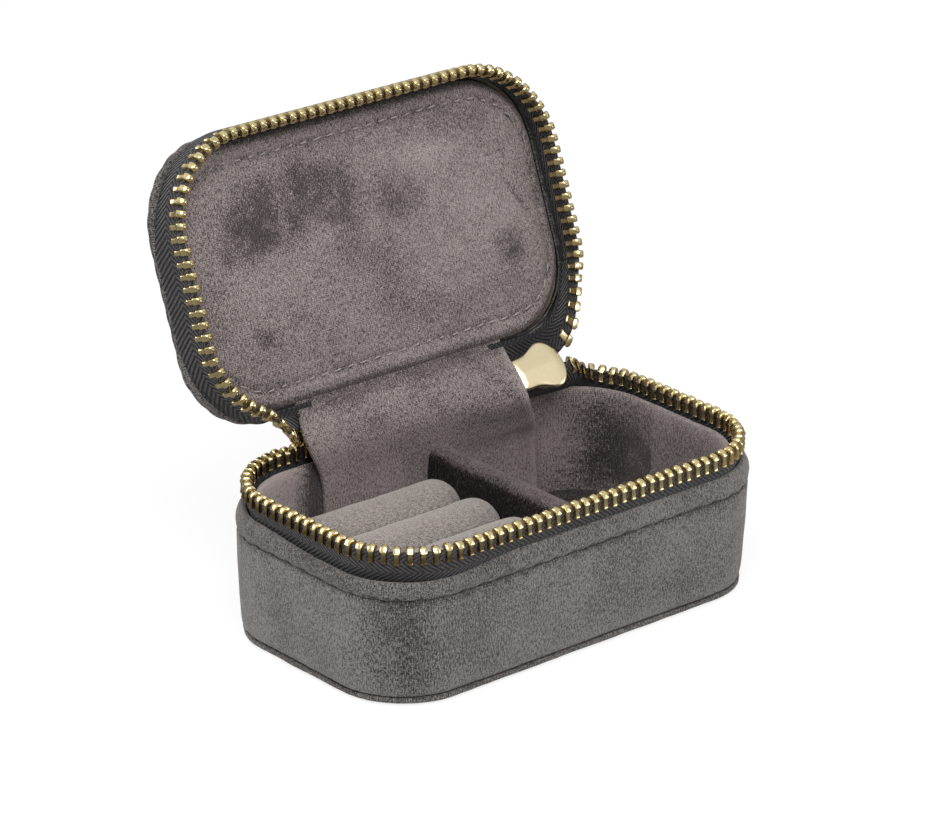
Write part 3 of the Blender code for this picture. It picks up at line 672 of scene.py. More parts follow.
def build_lining():
    outline = Outline(LINING)
    stations = outline.round(0.8)
    profile = resample([(-1.3, 4.6), (-1.2, 9.0), (-1.1, 16.0), (-1.0, 23.0), (-0.6, 26.2), (-0.15, 27.6),
                        (0.4, 28.2), (0.85, 27.7), (0.95, 26.0), (0.7, 21.0)], 0.7)
    across, height = profile[:, :1], profile[:, 1:]
    soft = waves(stations, height * 0.5, 12.0, 21) + 0.5 * waves(stations, height, 5.0, 22)
    inner = across < -0.2
    grid = lay(outline, stations, across - 0.28 * soft * inner, height + 0.15 * soft * ~inner)
    x, y, z = grid[..., 0], grid[..., 1], grid[..., 2]
    # painted highlight along the lining's rounded top edge; the rest is a little darker
    nap_and_shade = -0.10 + 0.26 * smooth(25.8, 27.6, z)
    # painted shade: the lining is darker, unevenly, in the back right corner of the tray
    back_right = np.exp(-((x - 44.5) / 4.5) ** 2 - ((z - 15) / 9.0) ** 2) * (y > 4)
    nap_and_shade = nap_and_shade - 0.7 * np.clip(back_right * (0.9 + 0.8 * waves(x + y, z, 4.0, 23)), 0, 1)
    nap_and_shade = nap_and_shade + 0.38 * np.exp(-((x - 34) / 7.0) ** 2 - ((z - 18) / 10.0) ** 2) * (y > 20)
    # shade beside the flap's left edge
    nap_and_shade = nap_and_shade - 0.9 * bell(x, -25.0, 2.0) * (y > 20)
    # painted light: the left part of the lining is lighter, with random patches lightened here and there
    nap_and_shade = nap_and_shade + 0.45 * smooth(-28.5, -31.0, x) + 0.12 * np.clip(waves(x - y, z * 1.6, 7.0, 24), 0, 1)
    attach(cloth("base_lining_velvet", grid, INNER, True, nap_and_shade), "lining_velvet", "base", "base_lining")


def tray_surface(name, node, low_x, high_x, z, crown, mat, nap_and_shade):
    """Padded floor that fills the tray between two values of X."""
    hx, hy, r = (size - 1.0 for size in LINING)
    xs = np.linspace(low_x, high_x, 46)
    ts = np.linspace(-1, 1, 46)[:, None]
    beyond = np.clip(np.abs(xs) - (hx - r), 0.0, r)
    ys = ts * (hy - r + np.sqrt(r * r - beyond * beyond))
    swell = (1 - ts ** 6) * (1 - ((xs - (low_x + high_x) / 2) / ((high_x - low_x) / 2)) ** 6)
    grid = sheet(xs, ys, z + crown * swell + 0.12 * waves(xs, ys, 6.0, 31))
    made = cloth(name, grid, mat, nap_and_shade=np.full(grid.shape[:2], nap_and_shade), thick=0.5)
    attach(made, "lining_velvet", "base", node)


def build_divider():
    """Padded wall with a round top between the rolls and the tray."""
    half, top = DIVIDER_HALF, DIVIDER_TOP
    profile = [(-half * 0.92, 5.0), (-half * 0.96, 14.0)]
    for step in range(17):
        a = math.pi * step / 16
        profile.append((-half * math.cos(a), top - half * 0.9 + half * 0.9 * math.sin(a)))
    profile = resample(profile + [(half * 0.96, 14.0), (half * 0.92, 5.0)], 0.55)
    ys = np.linspace(-24.2, 24.0, 72)
    x, z = profile[:, :1], profile[:, 1:]
    drop = 0.5 * smooth(22.5, 24.2, ys) + 0.5 * smooth(-21.0, -24.5, ys)
    grid = sheet(DIVIDER_X + x + 0.14 * waves(ys, z, 8.0, 41), ys,
                 z - drop * (z > 15) * (z - 15) / 10 + 0.1 * waves(ys, x, 5.0, 42))
    # painted shade and light: the divider's sides are darkened and its round top is left lighter, lighter still on
    # its right side
    nap_and_shade = 0.70 * smooth(22.4, 24.6, grid[..., 2]) - 0.68
    nap_and_shade = nap_and_shade + 0.2 * smooth(3.6, 6.0, grid[..., 0]) * (grid[..., 2] > 22.0)
    attach(cloth("divider_velvet", grid, WALL, nap_and_shade=nap_and_shade), "lining_velvet", "base", "divider_cover")


def build_rolls():
    """Stuffed rolls: soft cylinders with rounded ends, squeezed where they touch."""
    angles = 2 * math.pi * np.arange(ROLL_SIDES) / ROLL_SIDES
    c, s = np.cos(angles), np.sin(angles)
    for index, left in enumerate(ROLL_LEFTS):
        number = index + 1
        y0 = ROLL_PITCH * (1.5 - index) + ROLL_SHIFT
        length = ROLL_RIGHT - left
        run = np.concatenate([np.linspace(0, ROLL_END, 9), np.linspace(ROLL_END, length - ROLL_END, 64)[1:-1],
                              np.linspace(length - ROLL_END, length, 9)])[:, None]
        edge = np.clip(np.minimum(run, length - run) / ROLL_END, 0.0, 1.0)
        radius = ROLL_RADIUS - 3.0 * (1 - np.sqrt(1 - (1 - edge) ** 2))
        dent = 0.16 * waves(run, 40 * index + 8 * s, 7.0, 51) + 0.08 * waves(run, 9 * angles, 3.0, 52)
        grid = sheet(left + run, y0 + (radius * (1 - 0.02 * np.abs(c) ** 6) + dent) * c, ROLL_Z + (radius + dent) * s)
        # painted light and shade: each roll is lighter on top and darker underneath
        nap_and_shade = np.tile(0.10 * s - 0.02, (len(run), 1))
        made = cloth("ring_roll_%d" % number, grid, ROLL, True, nap_and_shade, caps=(True, True))
        soften = made.modifiers.new("soft", "SUBSURF")
        soften.levels = 1
        soften.render_levels = 1
        attach(made, "roll_velvet", "base", "ring_roll_cover_%d" % number, "ring_roll_foam_%d" % number)


# ---- zipper

# sections of a tooth and of a stop: depth from the closing plane, half along, half across
TOOTH = (
    (3.30, 0.46, 1.00), (3.24, 0.60, 1.20), (3.00, 0.62, 1.24), (2.80, 0.54, 1.14), (1.55, 0.54, 1.10),
    (1.35, 0.56, 1.06), (1.15, 0.68, 1.16), (0.92, 0.76, 1.26), (0.55, 0.76, 1.04), (0.20, 0.70, 0.78),
    (0.02, 0.56, 0.58), (-0.10, 0.38, 0.40), (-0.14, 0.22, 0.24), (-0.06, 0.10, 0.10),
)
STOP = ((2.9, 0.5, 1.0), (2.7, 0.8, 1.3), (0.9, 0.8, 1.3), (0.6, 0.55, 1.05))


def squared_rings(outline, distance, side, sections, power):
    """Rings of points with rounded square sections, in closed coordinates."""
    point, out, forward = outline.at(distance)
    rings = []
    for depth, half_along, half_out in sections:
        ring = []
        for k in range(12):
            a = 2 * math.pi * (k + 0.5) / 12
            ca, sa = math.cos(a), math.sin(a)
            u = math.copysign(abs(ca) ** power, ca) * half_along
            v = math.copysign(abs(sa) ** power, sa) * half_out
            spot = point + forward * u + out * v
            ring.append((spot[0], spot[1], ZIP_Z - side * depth))
        rings.append(ring)
    return np.array(rings)


def chain(name, outline, start, end, side, place, stop_at=None):
    """Metal teeth along part of an outline; place maps closed points to rest points.

    Side is 1 for the base's row and -1 for the lid's. A folded metal clip can stop the row.
    """
    bm = bmesh.new()
    distance = start
    index = 0
    while distance <= end:
        rings = squared_rings(outline, distance, side, TOOTH, 0.42)
        rings[..., 2] += 0.09 * math.sin(index * 2.4)
        loft(bm, place(rings))
        distance += PITCH
        index += 1
    if stop_at is not None:
        loft(bm, place(squared_rings(outline, stop_at, side, STOP, 0.5)))
    return finish_bm(name, bm, BRASS, 28)


def tape(name, outline, start, end, side, tuck, place, seed):
    """One cloth tape with a beaded edge between the teeth, about 0.6 mm thick."""
    tuck_across, tuck_z = tuck
    foot = ZIP_Z - side * 3.2
    bead = ZIP_Z - side * 1.25
    line = resample([(tuck_across, tuck_z), (tuck_across - tuck_across * 0.35, (tuck_z * 2 + foot) / 3),
                     (tuck_across - tuck_across * 0.8, (tuck_z + foot * 2) / 3), (0.0, foot), (0.0, bead)], 0.35)
    stations = outline.sections(start, end, 0.6)
    ripple = waves(stations, 0.0, 9.0, seed) + 0.6 * waves(stations, 0.0, 3.5, seed + 1)
    across = line[:, :1] + 0.1 * ripple[None] * np.sin(np.linspace(0, math.pi, len(line)))[:, None]
    half = (0.28 + 0.24 * smooth(len(line) - 3.2, len(line) - 1.4, np.arange(len(line))))[:, None]
    outer = lay(outline, stations, across + half, line[:, 1])
    inner = lay(outline, stations, across - half, line[:, 1])
    tip = lay(outline, stations, across[-1:], line[-1:, 1] + side * 0.3)
    sheet = np.concatenate([outer, tip, inner[::-1]])
    shade = np.concatenate([np.linspace(-0.25, 0.0, len(line)), [0.05], np.linspace(-0.1, -0.55, len(line))])
    made = cloth(name, place(sheet), TAPE, nap_and_shade=np.repeat(shade[:, None], len(stations), 1))
    # close the hidden edge and both ends
    face_outward(made.data, fill=True)
    return made


def passed(bend, x):
    """0 where a chain starts to leave its plane, 1 where it has left it."""
    near, far = bend
    return smooth(near, far, x) if near < far else smooth(-near, -far, -x)


def base_right(points):
    p = np.array(points, float)
    return turned(p, END_TURN * passed(RIGHT_BEND, p[..., 0]))


def base_right_tape(points):
    """The tape's edge goes up with the chain while its foot stays in the band."""
    p = np.array(points, float)
    return turned(p, END_TURN * (passed(RIGHT_BEND, p[..., 0]) * smooth(25.5, 30.0, p[..., 2])))


def lid_left(points):
    p = flared(points)
    return turned(p, LID_TURN * (1 - passed(LEFT_BEND, p[..., 0])))


def lid_right(points):
    p = np.array(points, float)
    return turned(p, LID_TURN * (1 - passed(LID_RIGHT_BEND, p[..., 0])))


def build_base_zip():
    outline = Outline(BASE_ZIP)
    left, right, last, tape_end = (outline.back(x) for x in BASE_ROW)
    teeth = chain("base_teeth", outline, left, right, 1, np.asarray, left - 1.6)
    attach(teeth, "zip_metal", "base", "base_zip_teeth", "base_top_stop")
    rest = left + math.ceil((right - left) / PITCH) * PITCH
    rising = chain("base_teeth_rising", outline, rest, last, 1, base_right)
    blend(rising)
    attach(rising, "zip_metal", None)
    main = tape("base_tape", outline, outline.back(STRIP_LEFT), right, 1, BASE_TUCK, np.asarray, 61)
    attach(main, "tape", "base", "base_zip_tape")
    end = tape("base_tape_rising", outline, right, tape_end, 1, BASE_TUCK, base_right_tape, 61)
    blend(end)
    attach(end, "tape", None)


def build_lid_zip():
    outline = Outline(LID_ZIP)
    first, left, right, last, tape_end = (outline.back(x) for x in LID_ROW)
    # where the teeth of the rigid part and of the falling end start
    begin = first + 1.2 + math.ceil((left - first - 1.2) / PITCH) * PITCH
    rest = begin + math.ceil((right - begin) / PITCH) * PITCH

    def hang(item, side, slot_name, *nodes):
        """The middle rides on the lid, and both ends bend down to the base."""
        attach(item, slot_name, None if side else "lid", *nodes)
        if side:
            blend(item)

    for side, place, start, end, stop, *nodes in (
            ("_left", lid_left, first + 1.2, left, first - 0.6, "lid_top_stop"),
            ("", opened, begin, right, None, "lid_zip_teeth"), ("_right", lid_right, rest, last, None)):
        hang(chain("lid_teeth" + side, outline, start, end, -1, place, stop), side, "zip_metal", *nodes)
    for side, place, start, end, *nodes in (
            ("_left", lid_left, outline.back(STRIP_LEFT), left),
            ("", lambda p: opened(flared(p)), left, right, "lid_zip_tape"), ("_right", lid_right, right, tape_end)):
        hang(tape("lid_tape" + side, outline, start, end, -1, LID_TUCK, place, 71), side, "tape", *nodes)


# ---- lid

def build_lid_shell():
    outline = Outline(LID)
    stations = outline.round(0.62)
    low = resample([(-1.9, 40.1), (-1.5, 39.6), (-0.95, 39.3), (-0.4, 39.3), (-0.1, 39.45), (-0.02, 39.7),
                    (-0.12, 39.9), (-0.35, 40.05), (-1.0, 40.2)], 0.3)
    grid = fabric_wall(outline, stations, low, LID_SEAM_Z, 3, False, 0.4)
    # painted shade: the lid's side band below the seam is darkened all round
    rim = cloth("lid_side_velvet", opened(lifted(grid)), OUTER, True, np.full(grid.shape[:2], -0.10))
    attach(rim, "velvet", "lid", "lid_side_cover")

    top = resample([(-1.2, 39.95), (-0.35, 40.15), (-0.1, 40.45), (-0.25, 41.0), (-0.75, 41.7), (-1.6, 42.3),
                    (-3.0, 42.85), (-5.5, 43.25), (-9.0, LID_CREST_Z)], 0.45)
    grid = fabric_wall(outline, stations, top, LID_SEAM_Z, 3, True, 0.4)
    rings = [grid]
    for share in (0.85, 0.7, 0.55, 0.4, 0.25, 0.12):
        ring = grid[-1:].copy()
        ring[..., :2] *= share
        ring[..., 2] = LID_CREST_Z + 0.35 * (1 - share ** 2)
        ring[..., 2] += 0.12 * waves(ring[..., 0], ring[..., 1], 14.0, 81)
        rings.append(ring)
    grid = np.concatenate(rings)
    nap_and_shade = 0.3 * waves(grid[..., 0], grid[..., 1], 16.0, 82) * smooth(41.5, 43.0, grid[..., 2])
    # painted shade: the cover's lower, rounded part near the seam is darker
    nap_and_shade -= 0.16 * smooth(42.6, 41.6, grid[..., 2])
    cover = cloth("lid_top_velvet", opened(lifted(grid)), OUTER, True, nap_and_shade, caps=(False, True))
    square_weave(cover, grid, 42.7)
    attach(cover, "velvet", "lid", "lid_top_cover")

    lining = Outline(LID_LINING)
    profile = resample([(0.5, 40.2), (0.2, 39.6), (-0.1, 39.9), (-0.2, 41.2)], 0.5)
    grid = opened(lay(lining, lining.round(1.0), profile[:, 0], profile[:, 1]))
    # painted shade: the lid's inner wall is darkened to stand for the dark gap between the panel and the teeth
    wall = cloth("lid_wall_lining_velvet", grid, WALL, True, np.full(grid.shape[:2], -0.3))
    attach(wall, "lining_velvet", "lid", "lid_side_lining")


def beyond_sewn_line(x, y):
    """How far a point of the panel lies outside the line along which it is sewn down."""
    hx, hy, r = PANEL_SEWN
    over_x, over_y = np.abs(x) - (hx - r), np.abs(y) - (hy - r)
    dx, dy = np.maximum(over_x, 0), np.maximum(over_y, 0)
    return np.sqrt(dx * dx + dy * dy) + np.minimum(np.maximum(over_x, over_y), 0) - r


# brushed patches of the lid's panel: x, y, half length, half width, strength
NAP_MARKS = (
    (-22.5, -11.0, 13.0, 7.5, -0.42), (-8.0, -13.5, 9.5, 7.5, -0.36), (-4.5, -3.5, 4.5, 7.5, -0.34),
    (-27.5, -6.5, 6.0, 4.5, -0.36), (33.8, 8.8, 3.6, 4.0, -0.42), (10.3, -8.2, 6.5, 5.5, -0.26),
    (4.5, 7.5, 5.5, 7.0, -0.24), (-30.7, 12.5, 2.4, 1.6, -0.38), (-34.5, -3.3, 1.4, 2.4, -0.34),
    (17.5, -15.0, 10.0, 5.5, 0.16), (26.0, 1.0, 13.0, 9.0, 0.10), (-22.0, 12.0, 14.0, 8.0, -0.04),
    (24.0, -18.5, 13.0, 3.0, -0.22), (20.0, 17.0, 15.0, 4.5, -0.14), (-38.0, -18.0, 6.0, 5.0, 0.10),
)


def build_lid_panel():
    """Crowned, padded panel sewn down along a line near its edge."""
    outline = Outline(PANEL)
    stations = np.linspace(0.0, outline.length, 401)[:-1]
    turn_in = np.array(((0.35, 41.4), (0.0, 40.4), (0.0, 39.5), (0.25, 38.95), (0.8, 38.6), (1.6, 38.45)))
    rings = list(lay(outline, stations, -turn_in[:, 0], turn_in[:, 1]))
    rim = rings[-1][:, :2]
    steps = 56
    for step in range(1, steps):
        share = 1 - step / steps
        ring = np.zeros((len(stations), 3))
        # rows close up towards a short line in the middle, so that faces stay even
        middle = np.stack([np.clip(rim[:, 0], -20.0, 20.0) * (1 - share), rim[:, 1] * 0], 1)
        ring[:, :2] = rim * share + middle
        ring[:, 2] = PANEL_Z
        rings.append(ring)
    grid = np.array(rings)
    x, y = grid[..., 0], grid[..., 1]
    face = np.arange(len(grid))[:, None] >= len(turn_in) - 1
    away = beyond_sewn_line(x, y)
    bulge = np.abs(np.sin(math.pi * np.where(np.abs(y) > 12, x, y) / PANEL_STITCH))
    valley = np.exp(-(away / 0.75) ** 2) * (0.30 + 0.30 * bulge)
    swell = 0.55 * smooth(0.0, -9.0, away) + 0.25 * bell(away, 1.8, 1.1)
    tug = 0.16 * (bulge - 0.5) * np.exp(-(np.abs(away) / 1.8))
    soft = 0.16 * waves(x, y, 9.0, 91) + 0.10 * waves(x, y, 3.6, 92)
    # one short slanted crease near the right end
    crease = np.exp(-(((x - 39.0) * 0.86 - (y - 0.5) * 0.51) / 0.5) ** 2)
    crease = crease * smooth(9.0, 4.0, np.hypot(x - 39, y - 0.5))
    grid[..., 2] += face * (valley - swell - tug - soft + 0.25 * crease)
    nap_and_shade = np.zeros(x.shape)
    rough = 1 + 0.8 * waves(x, y, 4.2, 94) + 0.45 * waves(x, y, 1.8, 95)
    for cx, cy, sx, sy, strength in NAP_MARKS:
        nap_and_shade += strength * np.exp(-(((x - cx) / sx) ** 2 + ((y - cy) / sy) ** 2) ** 1.6) * rough
    # painted shade in the sewn valley and along the crease, with random tone
    nap_and_shade += 0.12 * waves(x, y, 9.0, 93) + 0.06 * waves(x, y, 3.0, 96) - 0.05 - 0.3 * valley - 0.25 * crease
    # painted shade on the turned-in rows at the panel's edge
    nap_and_shade -= 0.5 * (~face)
    panel = cloth("lid_panel_velvet", opened(grid), FACE, True, nap_and_shade, caps=(False, "spine"))
    square_weave(panel, grid, 0.0)
    attach(panel, "lining_velvet", "lid", "lid_lining_panel", "lid_padding")
    build_panel_stitches()


def build_panel_stitches():
    """Pale, slightly uneven stitches along the sewn line. The short ends show none."""
    sewn = Outline(PANEL_SEWN)
    bow = opened(np.array((0.0, HINGE_Y, HINGE_Z - 0.22))) - (0, HINGE_Y, HINGE_Z)
    bm = bmesh.new()
    for k in range(int(sewn.length / PANEL_STITCH)):
        run = k * PANEL_STITCH
        middle = (k + 0.5) * PANEL_STITCH + 0.4 * wave(run, 1.0, 4.0, 97)
        if abs(sewn.at(middle)[0][0]) > 42.5:
            continue
        reach = 0.78 + 0.45 * wave(run, 7.0, 5.0, 98)
        ends = []
        for s, side in ((middle - reach, -1), (middle + reach, 1)):
            point, out, _ = sewn.at(s)
            point = point + out * (0.12 * side + 0.35 * wave(s, 2.0, 6.0, 99))
            ends.append(opened(np.array((point[0], point[1], PANEL_Z - 0.07))))
        capsule(bm, ends[0], ends[1], 0.16, bow)
    attach(finish_bm("lid_panel_stitches", bm, THREAD), "lining_velvet", "lid")


# ---- hinge fabric

def build_hinge_outer():
    """Outer fabric across the hinge, from the base's band up into the lid's side."""
    profile = resample([(28.0, 26.0), (28.35, 27.0), (28.45, 30.0), (28.4, 34.0), (28.35, 37.0), (28.3, 38.3),
                        (28.3, 39.4), (28.1, 40.2)], 0.4)
    xs = np.linspace(STRIP_LEFT - 1.0, STRIP_RIGHT + 1.0, 70)
    y, z = profile[:, :1], profile[:, 1:]
    ripple = 0.16 * waves(xs, z, 6.0, 101) + 0.10 * np.sin(xs * 1.1) * np.exp(-np.abs(z - HINGE_Z) / 1.2)
    grid = turned(sheet(xs, y + ripple, z), LID_TURN * smooth(37.0, 39.6, z))
    made = cloth("hinge_outer_velvet", grid, OUTER, thick=0.6)
    bake(made)
    attach(made, "velvet", None, "hinge_strip")
    blend(made)


# the flap's side edges from the lid down to the floor; its top is tucked under the lid's panel
FLAP_LEFT = ((-25.4, 30.6, 40.6), (-25.9, 29.3, 39.9), (-26.4, 28.2, 38.8), (-27.2, 26.5, 37.3), (-27.8, 24.9, 35.3),
             (-27.4, 23.8, 32.5), (-26.2, 23.4, 29.5), (-24.1, 23.7, 24.9), (-23.3, 23.9, 18.6), (-23.1, 24.0, 6.0))
FLAP_RIGHT = ((26.9, 30.4, 40.4), (26.7, 29.3, 39.7), (26.2, 27.7, 38.3), (25.5, 25.2, 37.0), (25.0, 22.6, 35.6),
              (24.7, 19.6, 32.9), (25.4, 18.8, 30.0), (28.3, 20.6, 24.8), (30.6, 23.0, 19.5), (32.4, 23.9, 6.0))


def even_points(path, count):
    """Points at equal steps along a smooth curve through a path."""
    fine = resample(path, 0.2)
    run = np.linspace(0, len(fine) - 1, count)
    return np.stack([np.interp(run, np.arange(len(fine)), fine[:, k]) for k in range(3)], 1)


def build_hinge_flap():
    """Inner velvet flap: from the lid panel's lower edge down behind the first roll."""
    rows, cols = 76, 84
    left, right = (even_points(path, rows)[:, None] for path in (FLAP_LEFT, FLAP_RIGHT))
    t = np.arange(cols) / (cols - 1)
    reach = sheet(t, t ** 2.2, 0.5 * t + 0.5 * t ** 2.2)
    x, y, z = np.moveaxis(left + (right - left) * reach, -1, 0)
    bulge = smooth(22.0, 32.0, z) * smooth(40.0, 36.0, z)
    fold = 0.32 * waves(x, z, 10.0, 111) + 0.14 * waves(x, z, 4.0, 112)
    edge = 0.5 * smooth(0.04, 0.0, t) + 0.4 * smooth(0.97, 1.0, t)
    tuck = 0.75 * smooth(37.9, 39.0, z)
    grid = sheet(x, y + fold * (0.3 + 0.7 * bulge) + edge * 0.5 * smooth(38.6, 36.8, z) + tuck, z)
    # painted shade: darker towards the top, under the lid's panel; lighter low down; random tone all over
    nap_and_shade = 0.12 * waves(x, z, 9.0, 113) + 0.10 * smooth(26, 20, z) - 0.12 * smooth(35.0, 38.0, z)
    # more painted shadow under the panel's edge, painted shade along one soft fold, and a pale cut edge on the right
    nap_and_shade -= 0.30 * smooth(37.4, 38.4, z)
    nap_and_shade -= 0.15 * bell((x - 22.0) * 0.8 + (z - 31.5) * 0.6, 0.0, 1.2) * (x > 10)
    nap_and_shade += 0.05 + 0.35 * bell(np.linspace(0, 1, cols)[None], 0.985, 0.012)
    made = cloth("hinge_flap_velvet", grid, INNER, nap_and_shade=nap_and_shade, thick=0.7)
    bake(made)
    attach(made, "lining_velvet", None, "hinge_flap")
    blend(made)


# ---- slider

def slider_frame():
    """Matrix from the slider's own frame to the row frame, in millimetres."""
    hinge = Matrix.Translation((0, HINGE_Y, HINGE_Z))
    lean = hinge @ Matrix.Rotation(-math.radians(END_TURN), 4, "X") @ Matrix.Translation((0, -HINGE_Y, -HINGE_Z))
    return lean @ Matrix.Translation((SLIDER_X, SLIDER_Y, ZIP_Z)) @ Matrix.Rotation(-math.radians(SLIDER_YAW), 4, "Z")


# half of a slider plate's outline: along the slider, and half-height
PLATE_EDGE = ((-5.1, 0.0), (-5.1, 2.6), (-4.7, 3.35), (-3.6, 3.5), (-2.3, 3.55), (-1.1, 3.8), (0.1, 4.35),
              (1.3, 4.9), (2.5, 5.15), (3.6, 4.9), (4.6, 4.1), (5.3, 3.0), (5.75, 1.6), (5.9, 0.0))


def slider_plate(bm, matrix, near, far, drop, ridge, size=1.0):
    """A plate with softly rounded edges, whose face has two shallow facets that meet along its middle."""
    half = resample(PLATE_EDGE, 0.5)
    loop = np.array([(x, z) for x, z in half] + [(x, -z) for x, z in half[1:-1]][::-1]) * size
    sign = -1 if far < near else 1
    rings = []
    for t, inset in ((0.0, 0.45), (0.06, 0.2), (0.25, 0.0), (0.75, 0.0), (0.94, 0.2), (1.0, 0.45)):
        scale_x, scale_z = 1 - inset / 5.5, 1 - inset / 4.6
        y = near + (far - near) * t
        rings.append([matrix @ Vector((x * scale_x, y, z * scale_z + drop)) for x, z in loop])
    for share in (0.86, 0.7, 0.5, 0.3, 0.12):
        rings.append([matrix @ Vector((x * share * 0.95, far + sign * ridge * (1 - abs(z) * share / 4.6),
                                       z * share * 0.93 + drop)) for x, z in loop])
    loft(bm, rings)


def round_edges(item, width, segments):
    edge = item.modifiers.new("edge", "BEVEL")
    edge.width = width * MM
    edge.segments = segments
    return edge


def build_slider():
    matrix = slider_frame()
    bm = bmesh.new()
    slider_plate(bm, matrix, -1.3, -2.4, -0.9, 0.42)
    slider_plate(bm, matrix, 1.3, 2.3, 0.0, 0.12, 0.8)
    # the neck that joins the plates between the two rows of teeth
    angles = [2 * math.pi * k / 16 for k in range(16)]
    loft(bm, [[matrix @ Vector((3.3 + 1.7 * math.cos(a), y, -0.6 + 1.1 * math.sin(a))) for a in angles]
              for y in (-1.6, 0.0, 1.6)])
    attach(finish_bm("slider_body_plates", bm, GOLD, 40), "slider_metal", "slider", "slider_body")

    nodes = frame["nodes"]
    for name in ("slider_bail", "pull_tab"):
        nodes[name].data.materials[0] = GOLD
        nodes[name].data.shade_smooth()
        nodes[name].data.set_sharp_from_angle(angle=math.radians(35))
    edge = round_edges(nodes["pull_tab"], 0.22, 3)
    edge.limit_method = "ANGLE"
    edge.angle_limit = math.radians(50)
    edge.harden_normals = False


def build_zip_end():
    """Joined tape ends behind the slider, with the folded bottom stop."""
    xs = np.linspace(*ZIP_END, 10)
    h = resample([(0.0, -2.9), (0.0, 0.0), (0.0, 2.9)], 0.4)[:, 1:]
    grid = sheet(xs, SLIDER_Y + 0.12 * waves(xs, h, 3.0, 121), ZIP_Z + h)
    made = cloth("zip_end_cloth", turned(grid, END_TURN), TAPE, thick=0.5)
    attach(made, "tape", "zip_end", "zip_end_tape")
    stop = frame["nodes"]["zip_bottom_stop"]
    stop.data.materials[0] = BRASS
    round_edges(stop, 0.12, 2)


def finish_boards():
    """Board material for the CAD boards. Those next to the lid's tape are near black, as painted shade in the dark
    gap along the lid's tape.
    """
    for name in ("base_bottom_board", "base_wall_board", "divider_board", "lid_top_board"):
        frame["nodes"][name].data.materials[0] = BOARD
    for name in ("lid_wall_board", "lid_panel_card"):
        frame["nodes"][name].data.materials[0] = DARK_BOARD


# ---- stage

def build_floor():
    bm = bmesh.new()
    bmesh.ops.create_grid(bm, x_segments=2, y_segments=2, size=3.0)
    mesh = bpy.data.meshes.new("studio_floor")
    bm.to_mesh(mesh)
    bm.free()
    n = Nodes(bpy.data.materials.new("floor_paper"))
    tone = n.noise(n.space(), 0.02, 2.0, 0.5)
    n.surface({"Base Color": n.mix(tone, (0.93, 0.93, 0.93), (0.97, 0.97, 0.97)), "Roughness": 0.9,
               "Specular IOR Level": 0.1})
    paper = Value(n, n.tree.nodes["Principled BSDF"].outputs[0])
    # the paper is lit from behind for the camera, so that its shadows stay faint, and dim in the metal
    glow, dim = (n.add("ShaderNodeEmission", {"Strength": strength}) for strength in (1.0, 0.30))
    share = n.add("ShaderNodeLightPath", {}, "Is Camera Ray") * 0.8
    seen = n.add("ShaderNodeMixShader", {0: share, 1: paper, 2: glow})
    glossy = n.add("ShaderNodeLightPath", {}, "Is Glossy Ray")
    n.feed(n.tree.nodes["Material Output"].inputs["Surface"],
           n.add("ShaderNodeMixShader", {0: glossy, 1: seen, 2: dim}))
    floor = new_object("studio_floor", mesh, n.owner)
    floor.location.z = -0.0002


def build_world():
    """White for the camera. A bright ceiling, grey walls and a darker belt for the metal to reflect."""
    world = bpy.data.worlds.new("studio")
    bpy.context.scene.world = world
    w = Nodes(world)
    height = w.axis(w.add("ShaderNodeTexCoord", {}, "Generated"), 2)
    belt = w.add("ShaderNodeValToRGB", {0: height})
    elements = belt.socket.node.color_ramp.elements
    stops = ((0.0, 0.70), (0.06, 0.30), (0.22, 0.20), (0.42, 0.90), (0.75, 1.1))
    elements[0].position, elements[1].position = stops[0][0], stops[-1][0]
    for position, _ in stops[1:-1]:
        elements.new(position)
    for element, (_, value) in zip(elements, stops):
        element.color = (value, value, value, 1.0)
    soft = w.tree.nodes["Background"]
    w.feed(soft.inputs[0], belt)
    w.feed(soft.inputs[1], 0.75)
    plain = w.add("ShaderNodeBackground", {0: (1.0, 1.0, 1.0, 1.0), 1: 1.0})
    camera_ray = w.add("ShaderNodeLightPath", {}, "Is Camera Ray")
    w.feed(w.tree.nodes["World Output"].inputs[0],
           w.add("ShaderNodeMixShader", {0: camera_ray, 1: Value(w, soft.outputs[0]), 2: plain}))


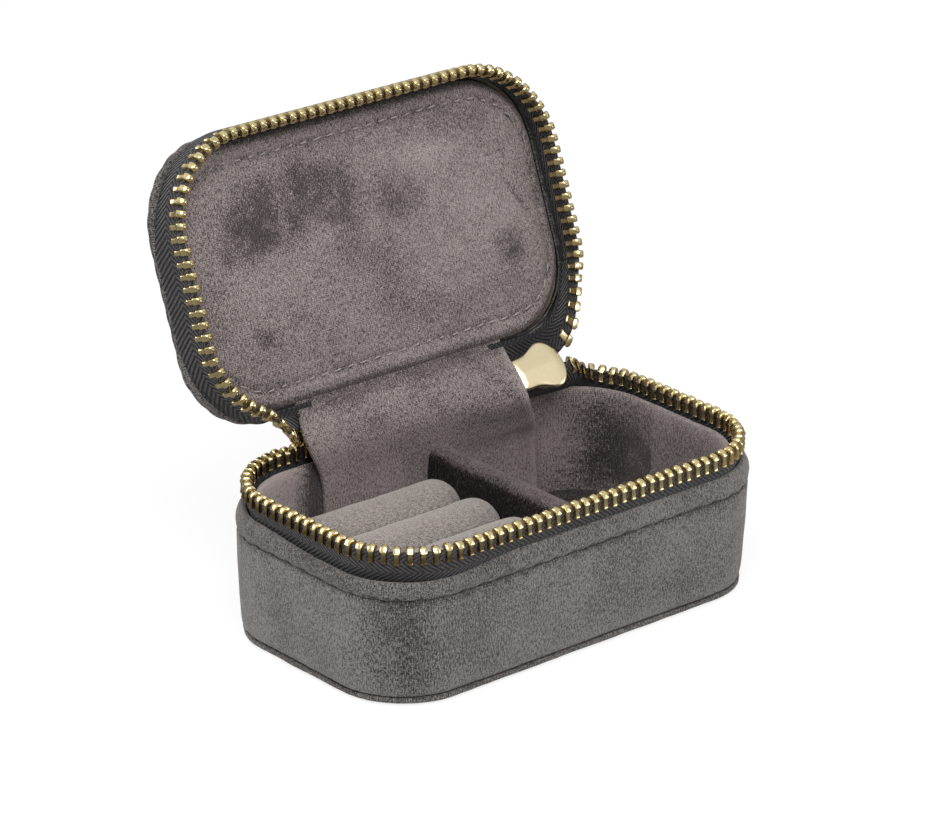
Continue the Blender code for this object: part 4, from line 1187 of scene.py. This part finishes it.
def area_light(name, place, size, power):
    """A rectangular lamp in metres and watts, aimed at the middle of the case."""
    data = bpy.data.lights.new(name, "AREA")
    data.shape = "RECTANGLE"
    data.size, data.size_y = size
    data.energy = power
    made = bpy.data.objects.new(name, data)
    made.location = place
    made.rotation_euler = (Vector((0.0, 0.0, 0.035)) - Vector(place)).to_track_quat("-Z", "Y").to_euler()
    bpy.context.scene.collection.objects.link(made)


# camera: azimuth, elevation and roll in degrees, distance, target and lens in millimetres
AZIMUTH = -40.82
ELEVATION = 22.48
TILT = 0.45
DISTANCE = 919.9
TARGET = (-8.0, 0.0, 43.38)
LENS = 185.53


def build_camera():
    a, e, r = (math.radians(v) for v in (AZIMUTH, ELEVATION, TILT))
    back = Vector((math.sin(a) * math.cos(e), -math.cos(a) * math.cos(e), math.sin(e)))
    right = Vector((math.cos(a), math.sin(a), 0.0))
    up = back.cross(right)
    tilted = right * math.cos(r) + up * math.sin(r)
    upright = up * math.cos(r) - right * math.sin(r)
    data = bpy.data.cameras.new("camera")
    data.lens = LENS
    data.sensor_width = 36.0
    data.clip_start = 0.01
    made = bpy.data.objects.new("camera", data)
    turn = Matrix((tilted, upright, back)).transposed().to_4x4()
    made.matrix_world = Matrix.Translation((Vector(TARGET) + back * DISTANCE) * MM) @ turn
    bpy.context.scene.collection.objects.link(made)
    bpy.context.scene.camera = made


bpy.context.scene.view_settings.view_transform = "Standard"
build_base_case()
build_lining()
# painted shade: both padded floors are darkened, deep in the tray and under the rolls
tray_surface("tray_floor_velvet", "tray_floor_pad", 6.0, 45.0, 5.8, 0.3, WALL, -0.40)
tray_surface("ring_bed_velvet", "ring_bed", -45.0, 2.0, 9.0, 0.2, INNER, -0.3)
build_divider()
build_rolls()
build_base_zip()
build_lid_shell()
build_lid_panel()
build_lid_zip()
build_hinge_outer()
build_hinge_flap()
build_slider()
build_zip_end()
finish_boards()
build_floor()
build_world()
area_light("key_softbox", (-0.45, -0.55, 0.95), (0.8, 0.6), 11.0)
area_light("front_fill", (0.75, -0.9, 0.35), (0.6, 0.6), 3.0)
area_light("rim_softbox", (-0.7, 0.6, 0.6), (0.5, 0.5), 3.0)
build_camera()
